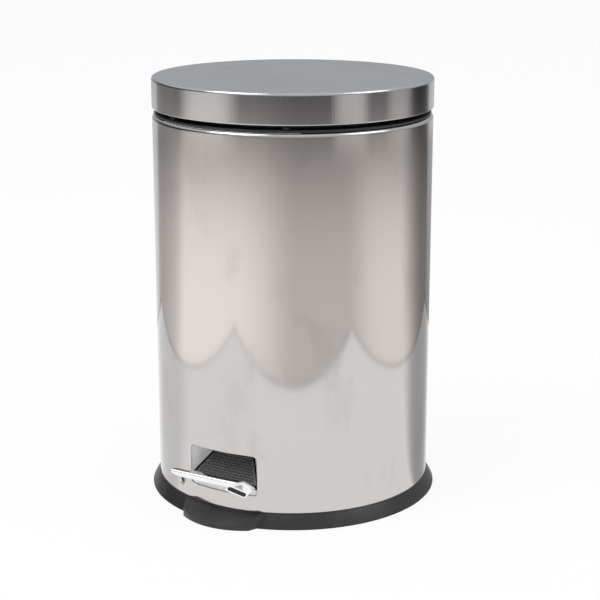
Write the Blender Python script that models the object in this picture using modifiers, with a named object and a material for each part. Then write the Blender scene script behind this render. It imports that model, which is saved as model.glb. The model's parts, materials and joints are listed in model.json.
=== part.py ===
"""Round pedal bin: a polished steel body with a lift-out bucket, and a lid lifted by a pedal and a push rod.

The bin's axis is Z, the floor is z = 0 and the pedal points to -Y. All lengths are in metres.
"""
import math

import bmesh
import bpy
from mathutils import Matrix, Vector

# Fits and sheet
CLEARANCE = 0.0003
OVERCUT = 0.01
SHEET = 0.0008
ROUND_STEPS = 88
INNER_STEPS = 64

# Body shell
BODY_RADIUS = 0.147
BODY_FOOT_Z = 0.015
BODY_TOP_Z = 0.406
SHOULDER_RADIUS = 0.004
SHOULDER_HEM = 0.006

# Pedal opening in the body, the recess behind it and its sloping toe ramp
OPENING_HALF_WIDTH = 0.0405
OPENING_TOP_Z = 0.075
OPENING_CORNER = 0.006
OPENING_FOOT_Z = 0.0315
OPENING_FOOT_CORNER = 0.004
RAMP_FOOT_Z = 0.0418
RAMP_FOOT_HALF_WIDTH = 0.0385
RAMP_TOP_Z = 0.064
RAMP_DEPTH = 0.0265
RAMP_TOP_HALF_WIDTH = 0.025
RAMP_THICKNESS = 0.002
RAMP_CORNER = 0.004
SURROUND_WALL = 0.001

# Base ring with its front tongue, and the base plate inside it
RING_FLARE = 0.008
RING_WALL = 0.004
RING_UPSTAND_Z = 0.024
RING_UPSTAND_WALL = 0.003
TONGUE_ROOT_HALF_WIDTH = 0.048
TONGUE_TIP_HALF_WIDTH = 0.040
TONGUE_SIDE_LENGTH = 0.011
TONGUE_LENGTH = 0.023
TONGUE_ROOT_HEIGHT = 0.0145
TONGUE_TIP_HEIGHT = 0.010
BASE_PLATE_Z = 0.0096
BASE_PLATE_THICKNESS = 0.0012

# Pedal lever on its pivot, just inside the opening
PIVOT_INSET = 0.017
PIVOT_Z = 0.0325
PIVOT_PIN_RADIUS = 0.0025
PIVOT_PIN_HEAD = 0.004
PIVOT_PIN_HEAD_LENGTH = 0.002
LEVER_HALF_WIDTH = 0.012
LEVER_BOSS_RADIUS = 0.005
LEVER_TIP_RADIUS = 0.004
LEVER_TAIL = 0.076
LEVER_NECK = 0.006
LEVER_LIP = 0.003
BRACKET_THICKNESS = 0.002
BRACKET_LENGTH = 0.016
BRACKET_FLANGE = 0.012
RUNNING_GAP = 0.0004

# Pedal plate: a flat stem through the opening, a rise to a rolled nose, a slotted flange under each side
# and an apron behind the opening
PEDAL_HALF_WIDTH = 0.039
PEDAL_SHEET = 0.0016
PEDAL_STEM_INSET = 0.029
PEDAL_STEM_Z = 0.0385
PEDAL_LENGTH = 0.033
PEDAL_NOSE_Z = 0.055
PEDAL_NOSE_RADIUS = 0.0042
PEDAL_NOSE_ROLL = 240.0
FLANGE_SHEET = 0.0014
FLANGE_INSET = 0.0002
FLANGE_DEPTH = 0.0147
FLANGE_ROUND = 0.004
FLANGE_REAR = 0.0115
FLANGE_FRONT_SETBACK = 0.001
FLANGE_SLOT_WIDTH = 0.0028
APRON_INSET = 0.0013
APRON_HALF_WIDTH = 0.036

# Push rod behind the bucket, its foot, its tip pad and its two guides
ROD_INSET = 0.0115
ROD_RADIUS = 0.0025
ROD_BEND = 0.016
ROD_FOOT_GAP = 0.0005
ROD_FOOT_HALF_WIDTH = 0.007
ROD_FOOT_LENGTH = 0.016
ROD_FOOT_HEIGHT = 0.009
ROD_FOOT_SHIFT = 0.002
ROD_PAD_HALF_WIDTH = 0.006
ROD_PAD_FRONT = 0.005
ROD_PAD_REAR = 0.012
ROD_PAD_THICKNESS = 0.004
GUIDE_HALF_WIDTH = 0.010
GUIDE_THICKNESS = 0.008
GUIDE_FRONT = 0.0065
GUIDE_LOWER_Z = 0.120
GUIDE_UPPER_DROP = 0.066

# Collar in the mouth of the body
COLLAR_FLANGE_INSET = 0.002
COLLAR_MOUTH_INSET = 0.021
COLLAR_THICKNESS = 0.0025
COLLAR_WALL = 0.003
COLLAR_DEPTH = 0.011

# Lift-out bucket and its bail
BUCKET_FLOOR_Z = 0.078
BUCKET_TAPER = 0.0135
BUCKET_GAP = 0.0025
BUCKET_RIM_LAP = 0.004
BUCKET_WALL = 0.0025
BAIL_INSET = 0.011
BAIL_WIRE = 0.002
BAIL_EAR_LENGTH = 0.018
BAIL_EAR_HEIGHT = 0.007
BAIL_EAR_THICKNESS = 0.005
GRIP_RADIUS = 0.0042
GRIP_HALF_ANGLE = math.radians(19.0)

# Lid
LID_OVERHANG = 0.0003
LID_HEIGHT = 0.0315
LID_LIFT = 0.0075
LID_EDGE_RADIUS = 0.003
LID_HEM = 0.0022
LINER_THICKNESS = 0.0025
LINER_WALL_INSET = 0.0073
LINER_WALL = 0.0025
LINER_DROP = 0.0015
BUFFER_RADIUS = 0.0045
BUFFER_SPREAD = math.radians(28.0)

# Hinge: the arm's knob rides on the rod's pad, below and in front of the hinge pin
HINGE_ARM = 0.0203
HINGE_KNOB_DROP = math.radians(25.0)
HINGE_KNOB_RADIUS = 0.004
HINGE_KNOB_RISE = 0.0036
HINGE_KNOB_SHIFT = 0.0025
HINGE_PIN_RADIUS = 0.0025
HINGE_BARREL_RADIUS = 0.0062
HINGE_ARM_HALF_WIDTH = 0.007
HINGE_SLOT_HALF_WIDTH = 0.009
HINGE_NOTCH_HALF_WIDTH = 0.0125
HINGE_NOTCH_HEIGHT = 0.0195
HOUSING_HALF_WIDTH = 0.026
HOUSING_DROP = 0.016
HOUSING_RISE = 0.0045
HOUSING_EAR_RADIUS = 0.0070
HOUSING_SLOT_FLOOR = 0.006
HOUSING_EAR_ROOT = 0.004
HINGE_PIN_HEAD = 0.004
HINGE_PIN_HEAD_LENGTH = 0.0015
HINGE_ARM_TAIL = 0.030
HINGE_ARM_TAIL_HEIGHT = 0.004
HINGE_ARM_SHOULDER = 0.008
GULLET_SHARE = 0.48
KNOB_GAP = 0.0004

# Carry handle on the back
HANDLE_HALF_SPAN = 0.048
HANDLE_STAND = 0.033
HANDLE_RADIUS = 0.0045
HANDLE_DROP = 0.034
HANDLE_BEND_SHARE = 0.6
HANDLE_FOOT_RADIUS = 0.0095
HANDLE_FOOT_THICKNESS = 0.003
HANDLE_FOOT_SEAT = 0.004

# Sizes that follow from the ones above
BODY_INNER_RADIUS = BODY_RADIUS - SHEET
MOUTH_RADIUS = BODY_RADIUS - 2 * SHOULDER_RADIUS
RAMP_TOP_REACH = BODY_RADIUS - RAMP_DEPTH
TONGUE_SIDE_REACH = BODY_RADIUS + TONGUE_SIDE_LENGTH
TONGUE_FRONT_REACH = BODY_RADIUS + TONGUE_LENGTH
PIVOT_Y = PIVOT_INSET - BODY_RADIUS
PEDAL_STEM_REAR = BODY_RADIUS - PEDAL_STEM_INSET
PEDAL_NOSE_REACH = BODY_RADIUS + PEDAL_LENGTH
HANDLE_REACH = BODY_RADIUS + HANDLE_STAND
ROD_Y = BODY_RADIUS - ROD_INSET
ROD_PAD_FRONT_Y = ROD_Y - ROD_PAD_FRONT
ROD_PAD_REAR_Y = ROD_Y + ROD_PAD_REAR
GUIDE_FRONT_Y = ROD_Y - GUIDE_FRONT
COLLAR_FLANGE_RADIUS = BODY_RADIUS - COLLAR_FLANGE_INSET
COLLAR_MOUTH_RADIUS = BODY_RADIUS - COLLAR_MOUTH_INSET
BUCKET_MOUTH_RADIUS = COLLAR_MOUTH_RADIUS - BUCKET_GAP
BUCKET_FLOOR_RADIUS = BUCKET_MOUTH_RADIUS - BUCKET_TAPER
BUCKET_RIM_RADIUS = COLLAR_MOUTH_RADIUS + BUCKET_RIM_LAP
BAIL_RADIUS = BUCKET_RIM_RADIUS - BAIL_INSET
LID_RADIUS = BODY_RADIUS + LID_OVERHANG
LINER_WALL_RADIUS = LID_RADIUS - LINER_WALL_INSET
COLLAR_FOOT_Z = BODY_TOP_Z + CLEARANCE
COLLAR_TOP_Z = COLLAR_FOOT_Z + COLLAR_THICKNESS
RIM_FOOT_Z = COLLAR_TOP_Z + CLEARANCE
RIM_TOP_Z = RIM_FOOT_Z + BUCKET_WALL
LID_SKIRT_Z = BODY_TOP_Z + LID_LIFT
LID_TOP_Z = LID_SKIRT_Z + LID_HEIGHT
LINER_FOOT_Z = LID_SKIRT_Z - LINER_DROP
LINER_TOP_Z = LID_TOP_Z - SHEET - CLEARANCE
LINER_FACE_Z = LINER_TOP_Z - LINER_THICKNESS
HINGE_NOTCH_TOP_Z = LID_SKIRT_Z + HINGE_NOTCH_HEIGHT
HOUSING_FOOT_Z = BODY_TOP_Z - HOUSING_DROP
HOUSING_TOP_Z = BODY_TOP_Z + HOUSING_RISE
HANDLE_Z = BODY_TOP_Z - HANDLE_DROP
GUIDE_UPPER_Z = BODY_TOP_Z - GUIDE_UPPER_DROP
HINGE_KNOB_Z = BODY_TOP_Z + HINGE_KNOB_RISE
HINGE_KNOB_Y = ROD_Y + HINGE_KNOB_SHIFT
HINGE_Y = HINGE_KNOB_Y + HINGE_ARM * math.cos(HINGE_KNOB_DROP)
HINGE_Z = HINGE_KNOB_Z + HINGE_ARM * math.sin(HINGE_KNOB_DROP)
ROD_TOP_Z = HINGE_KNOB_Z - HINGE_KNOB_RADIUS - KNOB_GAP
LEVER_TIP_Y = PIVOT_Y + LEVER_TAIL
ROD_FOOT_Z = PIVOT_Z + LEVER_TIP_RADIUS + ROD_FOOT_GAP
ROD_LEG_Z = ROD_FOOT_Z + ROD_FOOT_HEIGHT / 2
BASE_PLATE_TOP_Z = BASE_PLATE_Z + BASE_PLATE_THICKNESS
LEVER_FRONT_Y = PIVOT_Y - LEVER_BOSS_RADIUS - LEVER_LIP
PEDAL_BEND_REACH = PEDAL_SHEET - LEVER_FRONT_Y
GULLET_Z = HINGE_Z - GULLET_SHARE * HINGE_BARREL_RADIUS

STEEL = ((0.62, 0.605, 0.595), 0.12, 1.0)
SATIN_STEEL = ((0.62, 0.63, 0.64), 0.35, 1.0)
CHROME = ((0.85, 0.85, 0.86), 0.06, 1.0)
BLACK_PLASTIC = ((0.03, 0.03, 0.032), 0.45, 0.0)
BLACK_RUBBER = ((0.02, 0.02, 0.02), 0.8, 0.0)
DARK_GREY_PLASTIC = ((0.10, 0.10, 0.105), 0.5, 0.0)


def clear_scene():
    for thing in list(bpy.data.objects):
        bpy.data.objects.remove(thing, do_unlink=True)


def new_collection(name):
    collection = bpy.data.collections.new(name)
    bpy.context.scene.collection.children.link(collection)
    return collection


clear_scene()
PARTS = new_collection("pedal_bin")
CUTTERS = new_collection("cutters")


def principled(name, colour, roughness, metallic):
    material = bpy.data.materials.new(name)
    material.use_nodes = True
    shader = material.node_tree.nodes["Principled BSDF"]
    shader.inputs["Base Color"].default_value = (*colour, 1.0)
    shader.inputs["Roughness"].default_value = roughness
    shader.inputs["Metallic"].default_value = metallic
    return material


def as_part(thing, finish, carrier=None):
    """Make an object a finished piece, carried by an empty on its joint's axis if it moves."""
    PARTS.objects.link(thing)
    thing.data.materials.append(principled(thing.name, *finish))
    if thing.type == "MESH":
        thing.data.shade_smooth()
        thing.data.set_sharp_from_angle(angle=math.radians(35))
    if carrier is not None:
        thing.parent = carrier
        thing.matrix_parent_inverse = Matrix.Translation(carrier.location).inverted()
    return thing


def as_cutter(thing):
    CUTTERS.objects.link(thing)
    thing.hide_render = True
    thing.display_type = "WIRE"
    return thing


def cut(thing, cutter, operation="DIFFERENCE"):
    modifier = thing.modifiers.new(cutter.name, "BOOLEAN")
    modifier.operation = operation
    modifier.object = cutter
    return thing


def pivot(name, y, z):
    empty = bpy.data.objects.new(name, None)
    empty.location = (0.0, y, z)
    PARTS.objects.link(empty)
    return empty


def mesh_object(name, work):
    mesh = bpy.data.meshes.new(name)
    work.to_mesh(mesh)
    work.free()
    return bpy.data.objects.new(name, mesh)


def turned(name, profile, steps, closed=True):
    """Revolve (radius, z) points that run down the outer side; an open profile ends on the axis."""
    work = bmesh.new()
    corners = [work.verts.new((radius, 0.0, z)) for radius, z in profile]
    for start, end in zip(corners, corners[1:]):
        work.edges.new((start, end))
    if closed:
        work.edges.new((corners[-1], corners[0]))
    thing = mesh_object(name, work)
    screw = thing.modifiers.new("turn", "SCREW")
    screw.steps = steps
    screw.render_steps = steps
    screw.use_merge_vertices = True
    screw.merge_threshold = 1e-5
    weld = thing.modifiers.new("axis", "WELD")
    weld.merge_threshold = 1e-5
    return thing


def box(name, low, high):
    work = bmesh.new()
    size = [top - bottom for bottom, top in zip(low, high)]
    middle = [(top + bottom) / 2 for bottom, top in zip(low, high)]
    bmesh.ops.create_cube(work, size=1.0, matrix=Matrix.Translation(middle) @ Matrix.Diagonal((*size, 1.0)))
    return mesh_object(name, work)


def rod_along(name, axis, radius, start, end, centre, sides=24):
    """A cylinder along X, Y or Z from start to end; centre holds its other two coordinates in order."""
    quarter = math.pi / 2
    turn = {"X": Matrix.Rotation(quarter, 4, "Y"), "Y": Matrix.Rotation(quarter, 4, "X"), "Z": Matrix()}
    place = list(centre)
    place.insert("XYZ".index(axis), (start + end) / 2)
    work = bmesh.new()
    bmesh.ops.create_cone(work, cap_ends=True, segments=sides, radius1=radius, radius2=radius,
                          depth=end - start, matrix=Matrix.Translation(place) @ turn[axis])
    return mesh_object(name, work)


def curve_as_mesh(maker):
    """Make a curve object a welded mesh object of the same name."""
    bpy.context.scene.collection.objects.link(maker)
    bpy.context.view_layer.update()
    evaluated = maker.evaluated_get(bpy.context.evaluated_depsgraph_get())
    mesh = bpy.data.meshes.new_from_object(evaluated)
    mesh.transform(maker.matrix_world)
    name = maker.name
    bpy.data.objects.remove(maker, do_unlink=True)
    work = bmesh.new()
    work.from_mesh(mesh)
    bmesh.ops.remove_doubles(work, verts=work.verts, dist=1e-6)
    work.to_mesh(mesh)
    work.free()
    thing = bpy.data.objects.new(name, mesh)
    thing.name = name
    return thing


def prism(name, outline, low, high, axis):
    """Extrude an outline along X (points are y, z), Y (points are x, z) or Z (points are x, y)."""
    curve = bpy.data.curves.new(name, "CURVE")
    curve.dimensions = "2D"
    curve.fill_mode = "BOTH"
    curve.extrude = (high - low) / 2
    spline = curve.splines.new("POLY")
    spline.points.add(len(outline) - 1)
    for point, (across, up) in zip(spline.points, outline):
        point.co = (across, up, 0.0, 1.0)
    spline.use_cyclic_u = True
    maker = bpy.data.objects.new(name, curve)
    middle = (high + low) / 2
    maker.location["XYZ".index(axis)] = middle
    quarter = math.pi / 2
    maker.rotation_euler = {"X": (quarter, 0, quarter), "Y": (quarter, 0, 0), "Z": (0, 0, 0)}[axis]
    return curve_as_mesh(maker)


def wire(name, points, radius):
    """A round wire or tube along points, with filled ends."""
    curve = bpy.data.curves.new(name, "CURVE")
    curve.dimensions = "3D"
    curve.bevel_depth = radius
    curve.bevel_resolution = 3
    curve.use_fill_caps = True
    spline = curve.splines.new("POLY")
    spline.points.add(len(points) - 1)
    for point, place in zip(spline.points, points):
        point.co = (*place, 1.0)
    return bpy.data.objects.new(name, curve)


def arc(across, up, radius, start_deg, end_deg, steps):
    turns = [math.radians(start_deg + (end_deg - start_deg) * step / steps) for step in range(steps + 1)]
    return [(across + radius * math.cos(turn), up + radius * math.sin(turn)) for turn in turns]


def on_wall(radius, across):
    """How far out the wall of a given radius lies at a distance across from the pedal's plane."""
    return math.sqrt(radius * radius - across * across)


def hinge_notch(name):
    """Room for the hinge arm and the rod's pad through the skirts of the lid and the rim of the body."""
    low = (-HINGE_NOTCH_HALF_WIDTH, ROD_PAD_FRONT_Y - COLLAR_WALL, COLLAR_FOOT_Z - COLLAR_DEPTH - SHEET)
    return as_cutter(box(name, low, (HINGE_NOTCH_HALF_WIDTH, HINGE_Y, HINGE_NOTCH_TOP_Z)))


def body_shell(notch):
    roll_z = BODY_TOP_Z - SHOULDER_RADIUS
    roll_radius = BODY_RADIUS - SHOULDER_RADIUS
    hem_z = roll_z - SHOULDER_HEM
    profile = [(MOUTH_RADIUS, hem_z)]
    profile += arc(roll_radius, roll_z, SHOULDER_RADIUS, 180, 0, 6)
    profile += [(BODY_RADIUS, BODY_FOOT_Z), (BODY_INNER_RADIUS, BODY_FOOT_Z)]
    profile += arc(roll_radius, roll_z, SHOULDER_RADIUS - SHEET, 0, 180, 6)
    profile += [(MOUTH_RADIUS + SHEET, hem_z)]
    shell = turned("body_shell", profile, ROUND_STEPS)
    side = OPENING_HALF_WIDTH - OPENING_CORNER
    crown = OPENING_TOP_Z - OPENING_CORNER
    foot_side = OPENING_HALF_WIDTH - OPENING_FOOT_CORNER
    foot = OPENING_FOOT_Z + OPENING_FOOT_CORNER
    outline = arc(side, crown, OPENING_CORNER, 0, 90, 6) + arc(-side, crown, OPENING_CORNER, 90, 180, 6)
    outline += arc(-foot_side, foot, OPENING_FOOT_CORNER, 180, 270, 6)
    outline += arc(foot_side, foot, OPENING_FOOT_CORNER, 270, 360, 6)
    cut(shell, as_cutter(prism("pedal_opening", outline, -BODY_RADIUS - OVERCUT, -RAMP_TOP_REACH, "Y")))
    cut(shell, notch)
    return as_part(shell, STEEL)


def base_ring():
    seat_radius = BODY_INNER_RADIUS - CLEARANCE
    seat_z = BODY_FOOT_Z - CLEARANCE
    foot_radius = BODY_RADIUS + RING_FLARE
    inner = seat_radius - RING_UPSTAND_WALL
    profile = [(seat_radius, RING_UPSTAND_Z), (seat_radius, seat_z), (BODY_RADIUS, seat_z),
               (foot_radius, 0.0), (foot_radius - RING_WALL, 0.0),
               (inner, BASE_PLATE_TOP_Z), (inner, RING_UPSTAND_Z)]
    ring = turned("base_ring", profile, ROUND_STEPS)
    chord = TONGUE_FRONT_REACH - TONGUE_SIDE_REACH
    bow = (TONGUE_TIP_HALF_WIDTH ** 2 + chord ** 2) / (2 * chord)
    half_turn = math.degrees(math.asin(TONGUE_TIP_HALF_WIDTH / bow))
    root = on_wall(BODY_RADIUS, TONGUE_ROOT_HALF_WIDTH)
    outline = [(TONGUE_ROOT_HALF_WIDTH, -root), (-TONGUE_ROOT_HALF_WIDTH, -root)]
    outline += arc(0.0, bow - TONGUE_FRONT_REACH, bow, 270 - half_turn, 270 + half_turn, 14)
    tongue = as_cutter(prism("tongue", outline, 0.0, TONGUE_ROOT_HEIGHT, "Z"))
    drop = TONGUE_ROOT_HEIGHT - TONGUE_TIP_HEIGHT
    above = TONGUE_ROOT_HEIGHT + OVERCUT
    ahead = -TONGUE_FRONT_REACH - OVERCUT
    slope = [(ahead, TONGUE_TIP_HEIGHT - drop * OVERCUT / (TONGUE_FRONT_REACH - root)),
             (-root, TONGUE_ROOT_HEIGHT), (-root, above), (ahead, above)]
    aside = TONGUE_ROOT_HALF_WIDTH + OVERCUT
    cut(tongue, as_cutter(prism("tongue_slope", slope, -aside, aside, "X")))
    inside = seat_radius - RING_UPSTAND_WALL / 2
    well = rod_along("tongue_well", "Z", inside, -OVERCUT, above, (0.0, 0.0), ROUND_STEPS)
    cut(tongue, as_cutter(well))
    cut(ring, tongue, "UNION")
    return as_part(ring, BLACK_PLASTIC)


def base_plate():
    radius = BODY_INNER_RADIUS - CLEARANCE - RING_UPSTAND_WALL - CLEARANCE
    foot = BASE_PLATE_TOP_Z + CLEARANCE
    top = foot + BASE_PLATE_THICKNESS
    profile = [(0.0, top), (radius, top), (radius, foot), (0.0, foot)]
    return as_part(turned("base_plate", profile, INNER_STEPS, closed=False), SATIN_STEEL)


def recess_surround():
    """Two flared cheeks and a ceiling, lofted from the opening's edge in to the top of the toe ramp."""
    radius = BODY_INNER_RADIUS - CLEARANCE
    side = OPENING_HALF_WIDTH + CLEARANCE
    steps = 8
    rim = [side - 2 * side * step / steps for step in range(steps + 1)]
    top_half = RAMP_TOP_HALF_WIDTH + CLEARANCE
    ramp_reach = RAMP_TOP_REACH
    work = bmesh.new()
    front = [work.verts.new((across, -on_wall(radius, across), OPENING_TOP_Z)) for across in rim]
    back = [work.verts.new((across * top_half / side, -ramp_reach, RAMP_TOP_Z)) for across in rim]
    for step in range(steps):
        work.faces.new((front[step], front[step + 1], back[step + 1], back[step]))
    foot_out = on_wall(radius, side)
    for end, across in ((0, side), (steps, -side)):
        foot = work.verts.new((across, -foot_out, RAMP_FOOT_Z))
        corners = (front[end], back[end], foot)
        work.faces.new(corners if across > 0 else corners[::-1])
    bmesh.ops.recalc_face_normals(work, faces=work.faces)
    thing = mesh_object("recess_surround", work)
    shell = thing.modifiers.new("wall", "SOLIDIFY")
    shell.thickness = SURROUND_WALL
    shell.offset = 1.0
    shell.use_even_offset = True
    return as_part(thing, STEEL)


def toe_ramp():
    """A sloping plate, wide at its foot and narrow at its top, with its face to the toe."""
    foot_out = on_wall(BODY_INNER_RADIUS - CLEARANCE, OPENING_HALF_WIDTH) - SURROUND_WALL
    rise = RAMP_TOP_Z - RAMP_FOOT_Z
    run = foot_out - RAMP_TOP_REACH
    slope = math.atan2(rise, run)
    length = math.hypot(rise, run) - 2 * CLEARANCE
    corner = RAMP_CORNER
    lean = math.atan2(RAMP_FOOT_HALF_WIDTH - RAMP_TOP_HALF_WIDTH, length)
    lean_deg = math.degrees(lean)
    crown = RAMP_TOP_HALF_WIDTH - corner
    outline = [(-RAMP_FOOT_HALF_WIDTH, 0.0), (RAMP_FOOT_HALF_WIDTH, 0.0)]
    outline += arc(crown, length - corner, corner, lean_deg, 90, 5)
    outline += arc(-crown, length - corner, corner, 90, 180 - lean_deg, 5)
    plate = prism("toe_ramp", outline, -RAMP_THICKNESS, 0.0, "Z")
    tilt = Matrix.Rotation(slope, 4, "X")
    plate.data.transform(Matrix.Translation((0.0, -foot_out, RAMP_FOOT_Z + CLEARANCE)) @ tilt)
    return as_part(plate, BLACK_RUBBER)


def pivot_bracket(name, side):
    """A bent steel angle with an ear for the pivot pin, standing on the base plate."""
    face = LEVER_HALF_WIDTH + RUNNING_GAP
    foot = BASE_PLATE_TOP_Z + CLEARANCE + BASE_PLATE_THICKNESS + CLEARANCE
    half = BRACKET_LENGTH / 2
    outline = [(PIVOT_Y - half, foot), (PIVOT_Y + half, foot)]
    outline += arc(PIVOT_Y, PIVOT_Z, LEVER_BOSS_RADIUS, 0, 180, 12)
    low, high = sorted((side * face, side * (face + BRACKET_THICKNESS)))
    bracket = prism(name, outline, low, high, "X")
    inner, outer = sorted((side * (face + BRACKET_THICKNESS * 0.5), side * (face + BRACKET_FLANGE)))
    flange = box(name + "_flange", (inner, PIVOT_Y - half, foot),
                 (outer, PIVOT_Y + half, foot + BRACKET_THICKNESS))
    cut(bracket, as_cutter(flange), "UNION")
    reach = face + BRACKET_FLANGE
    hole = rod_along(name + "_hole", "X", PIVOT_PIN_RADIUS + CLEARANCE, -reach, reach, (PIVOT_Y, PIVOT_Z))
    return as_part(cut(bracket, as_cutter(hole)), SATIN_STEEL)


def headed_pin(name, half_length, radius, head_radius, head_length, y, z):
    """A straight pin along X with a formed head at each end."""
    profile = [(0.0, half_length + head_length), (head_radius, half_length + head_length),
               (head_radius, half_length), (radius, half_length), (radius, -half_length),
               (head_radius, -half_length), (head_radius, -half_length - head_length),
               (0.0, -half_length - head_length)]
    pin = turned(name, profile, 24, closed=False)
    pin.rotation_euler = (0.0, math.pi / 2, 0.0)
    pin.location = (0.0, y, z)
    return as_part(pin, SATIN_STEEL)


def pivot_pin():
    half = LEVER_HALF_WIDTH + RUNNING_GAP + BRACKET_THICKNESS + CLEARANCE
    return headed_pin("pivot_pin", half, PIVOT_PIN_RADIUS, PIVOT_PIN_HEAD, PIVOT_PIN_HEAD_LENGTH,
                      PIVOT_Y, PIVOT_Z)


def pedal_lever(carrier):
    """The bar under the pedal's stem: it turns on the pivot pin, and its round tip lifts the rod."""
    top = PEDAL_STEM_Z - PEDAL_SHEET / 2 - CLEARANCE
    rear = -PEDAL_STEM_REAR
    outline = [(LEVER_FRONT_Y, top), (LEVER_FRONT_Y, top - LEVER_NECK)]
    outline += arc(PIVOT_Y, PIVOT_Z, LEVER_BOSS_RADIUS, 200, 290, 8)
    outline += arc(LEVER_TIP_Y, PIVOT_Z, LEVER_TIP_RADIUS, -90, 90, 10)
    outline += [(rear + LEVER_TIP_RADIUS, PIVOT_Z + LEVER_TIP_RADIUS), (rear, top)]
    lever = prism("pedal_lever", outline, -LEVER_HALF_WIDTH, LEVER_HALF_WIDTH, "X")
    aside = LEVER_HALF_WIDTH + OVERCUT
    hole = rod_along("lever_hole", "X", PIVOT_PIN_RADIUS + CLEARANCE, -aside, aside, (PIVOT_Y, PIVOT_Z))
    return as_part(cut(lever, as_cutter(hole)), SATIN_STEEL, carrier)


def pedal_rise():
    """The bend, the nose's middle and the direction of the pedal's rising sheet, as (reach, z)."""
    bend = Vector((PEDAL_BEND_REACH, PEDAL_STEM_Z))
    nose = Vector((PEDAL_NOSE_REACH - PEDAL_NOSE_RADIUS - PEDAL_SHEET / 2, PEDAL_NOSE_Z))
    span = nose - bend
    turn = math.atan2(span.y, span.x) + math.asin(PEDAL_NOSE_RADIUS / span.length)
    return bend, nose, turn


def pedal_flange(name, side):
    """A slotted strip with round ends under one side of the pedal, joined to the rising sheet."""
    bend, nose, turn = pedal_rise()
    turn_deg = math.degrees(turn)
    along = Vector((math.cos(turn), math.sin(turn)))
    below = Vector((math.sin(turn), -math.cos(turn)))
    root = (on_wall(BODY_RADIUS, PEDAL_HALF_WIDTH) + PEDAL_SHEET - PEDAL_BEND_REACH) / along.x
    tip = (nose - bend).dot(along)
    middle = bend + below * (FLANGE_DEPTH - FLANGE_ROUND)
    rear = middle + along * (FLANGE_REAR + FLANGE_ROUND)
    front = middle + along * (tip - FLANGE_FRONT_SETBACK - FLANGE_ROUND)
    outline = [tuple(bend + along * tip), tuple(bend + along * root)]
    outline += arc(*rear, FLANGE_ROUND, turn_deg + 180, turn_deg + 270, 6)
    outline += arc(*front, FLANGE_ROUND, turn_deg + 270, turn_deg + 360, 6)
    slot = arc(*rear, FLANGE_SLOT_WIDTH / 2, turn_deg + 90, turn_deg + 270, 6)
    slot += arc(*front, FLANGE_SLOT_WIDTH / 2, turn_deg - 90, turn_deg + 90, 6)
    inner, outer = sorted(side * (PEDAL_HALF_WIDTH - FLANGE_INSET - depth) for depth in (0.0, FLANGE_SHEET))
    flange = as_cutter(prism(name, [(-reach, z) for reach, z in outline], inner, outer, "X"))
    hole = prism(name + "_slot", [(-reach, z) for reach, z in slot], inner - OVERCUT, outer + OVERCUT, "X")
    return cut(flange, as_cutter(hole))


def pedal_apron(name):
    """A curved strip under the stem that keeps the foot of the opening closed."""
    outer = BODY_INNER_RADIUS - APRON_INSET
    half_turn = math.degrees(math.asin(APRON_HALF_WIDTH / outer))
    outline = arc(0.0, 0.0, outer, 270 - half_turn, 270 + half_turn, 12)
    outline += arc(0.0, 0.0, outer - PEDAL_SHEET / 2, 270 + half_turn, 270 - half_turn, 12)
    return as_cutter(prism(name, outline, OPENING_FOOT_Z, PEDAL_STEM_Z, "Z"))


def pedal_plate(carrier):
    """The sheet of the pedal, thickened to both sides of its middle line, with its flanges and apron."""
    bend, nose, turn = pedal_rise()
    start = 90 + math.degrees(turn)
    path = [(PEDAL_STEM_REAR, PEDAL_STEM_Z), tuple(bend)]
    path += arc(*nose, PEDAL_NOSE_RADIUS, start, start - PEDAL_NOSE_ROLL, 14)
    work = bmesh.new()
    rows = [[work.verts.new((side * PEDAL_HALF_WIDTH, -reach, z)) for side in (-1, 1)] for reach, z in path]
    for row, following in zip(rows, rows[1:]):
        work.faces.new((row[0], row[1], following[1], following[0]))
    thing = mesh_object("pedal_plate", work)
    shell = thing.modifiers.new("sheet", "SOLIDIFY")
    shell.thickness = PEDAL_SHEET
    shell.offset = 0.0
    shell.use_even_offset = True
    cut(thing, pedal_flange("flange_left", -1), "UNION")
    cut(thing, pedal_flange("flange_right", 1), "UNION")
    cut(thing, pedal_apron("apron"), "UNION")
    return as_part(thing, CHROME, carrier)


def push_rod(carrier):
    """A bent wire: a leg under the bucket from the lever's tip, then up the back to the hinge."""
    top = ROD_TOP_Z - ROD_PAD_THICKNESS - CLEARANCE
    front = LEVER_TIP_Y - ROD_FOOT_LENGTH / 2 - ROD_FOOT_SHIFT
    bend = arc(ROD_Y - ROD_BEND, ROD_LEG_Z + ROD_BEND, ROD_BEND, -90, 0, 8)
    points = [(0.0, front, ROD_LEG_Z)] + [(0.0, y, z) for y, z in bend] + [(0.0, ROD_Y, top)]
    return as_part(wire("push_rod", points, ROD_RADIUS), SATIN_STEEL, carrier)


def rod_foot(carrier):
    """A plastic block on the front end of the rod, which the lever's tip pushes up."""
    half = ROD_FOOT_LENGTH / 2
    middle = LEVER_TIP_Y - ROD_FOOT_SHIFT
    foot = box("rod_foot", (-ROD_FOOT_HALF_WIDTH, middle - half, ROD_FOOT_Z),
               (ROD_FOOT_HALF_WIDTH, middle + half, ROD_FOOT_Z + ROD_FOOT_HEIGHT))
    reach = half + OVERCUT
    bore = rod_along("foot_bore", "Y", ROD_RADIUS + CLEARANCE, middle - reach, middle + reach,
                     (0.0, ROD_LEG_Z), 16)
    return as_part(cut(foot, as_cutter(bore)), BLACK_PLASTIC, carrier)


def rod_tip_pad(carrier):
    pad = box("rod_tip_pad", (-ROD_PAD_HALF_WIDTH, ROD_PAD_FRONT_Y, ROD_TOP_Z - ROD_PAD_THICKNESS),
              (ROD_PAD_HALF_WIDTH, ROD_PAD_REAR_Y, ROD_TOP_Z))
    return as_part(pad, BLACK_PLASTIC, carrier)


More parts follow.
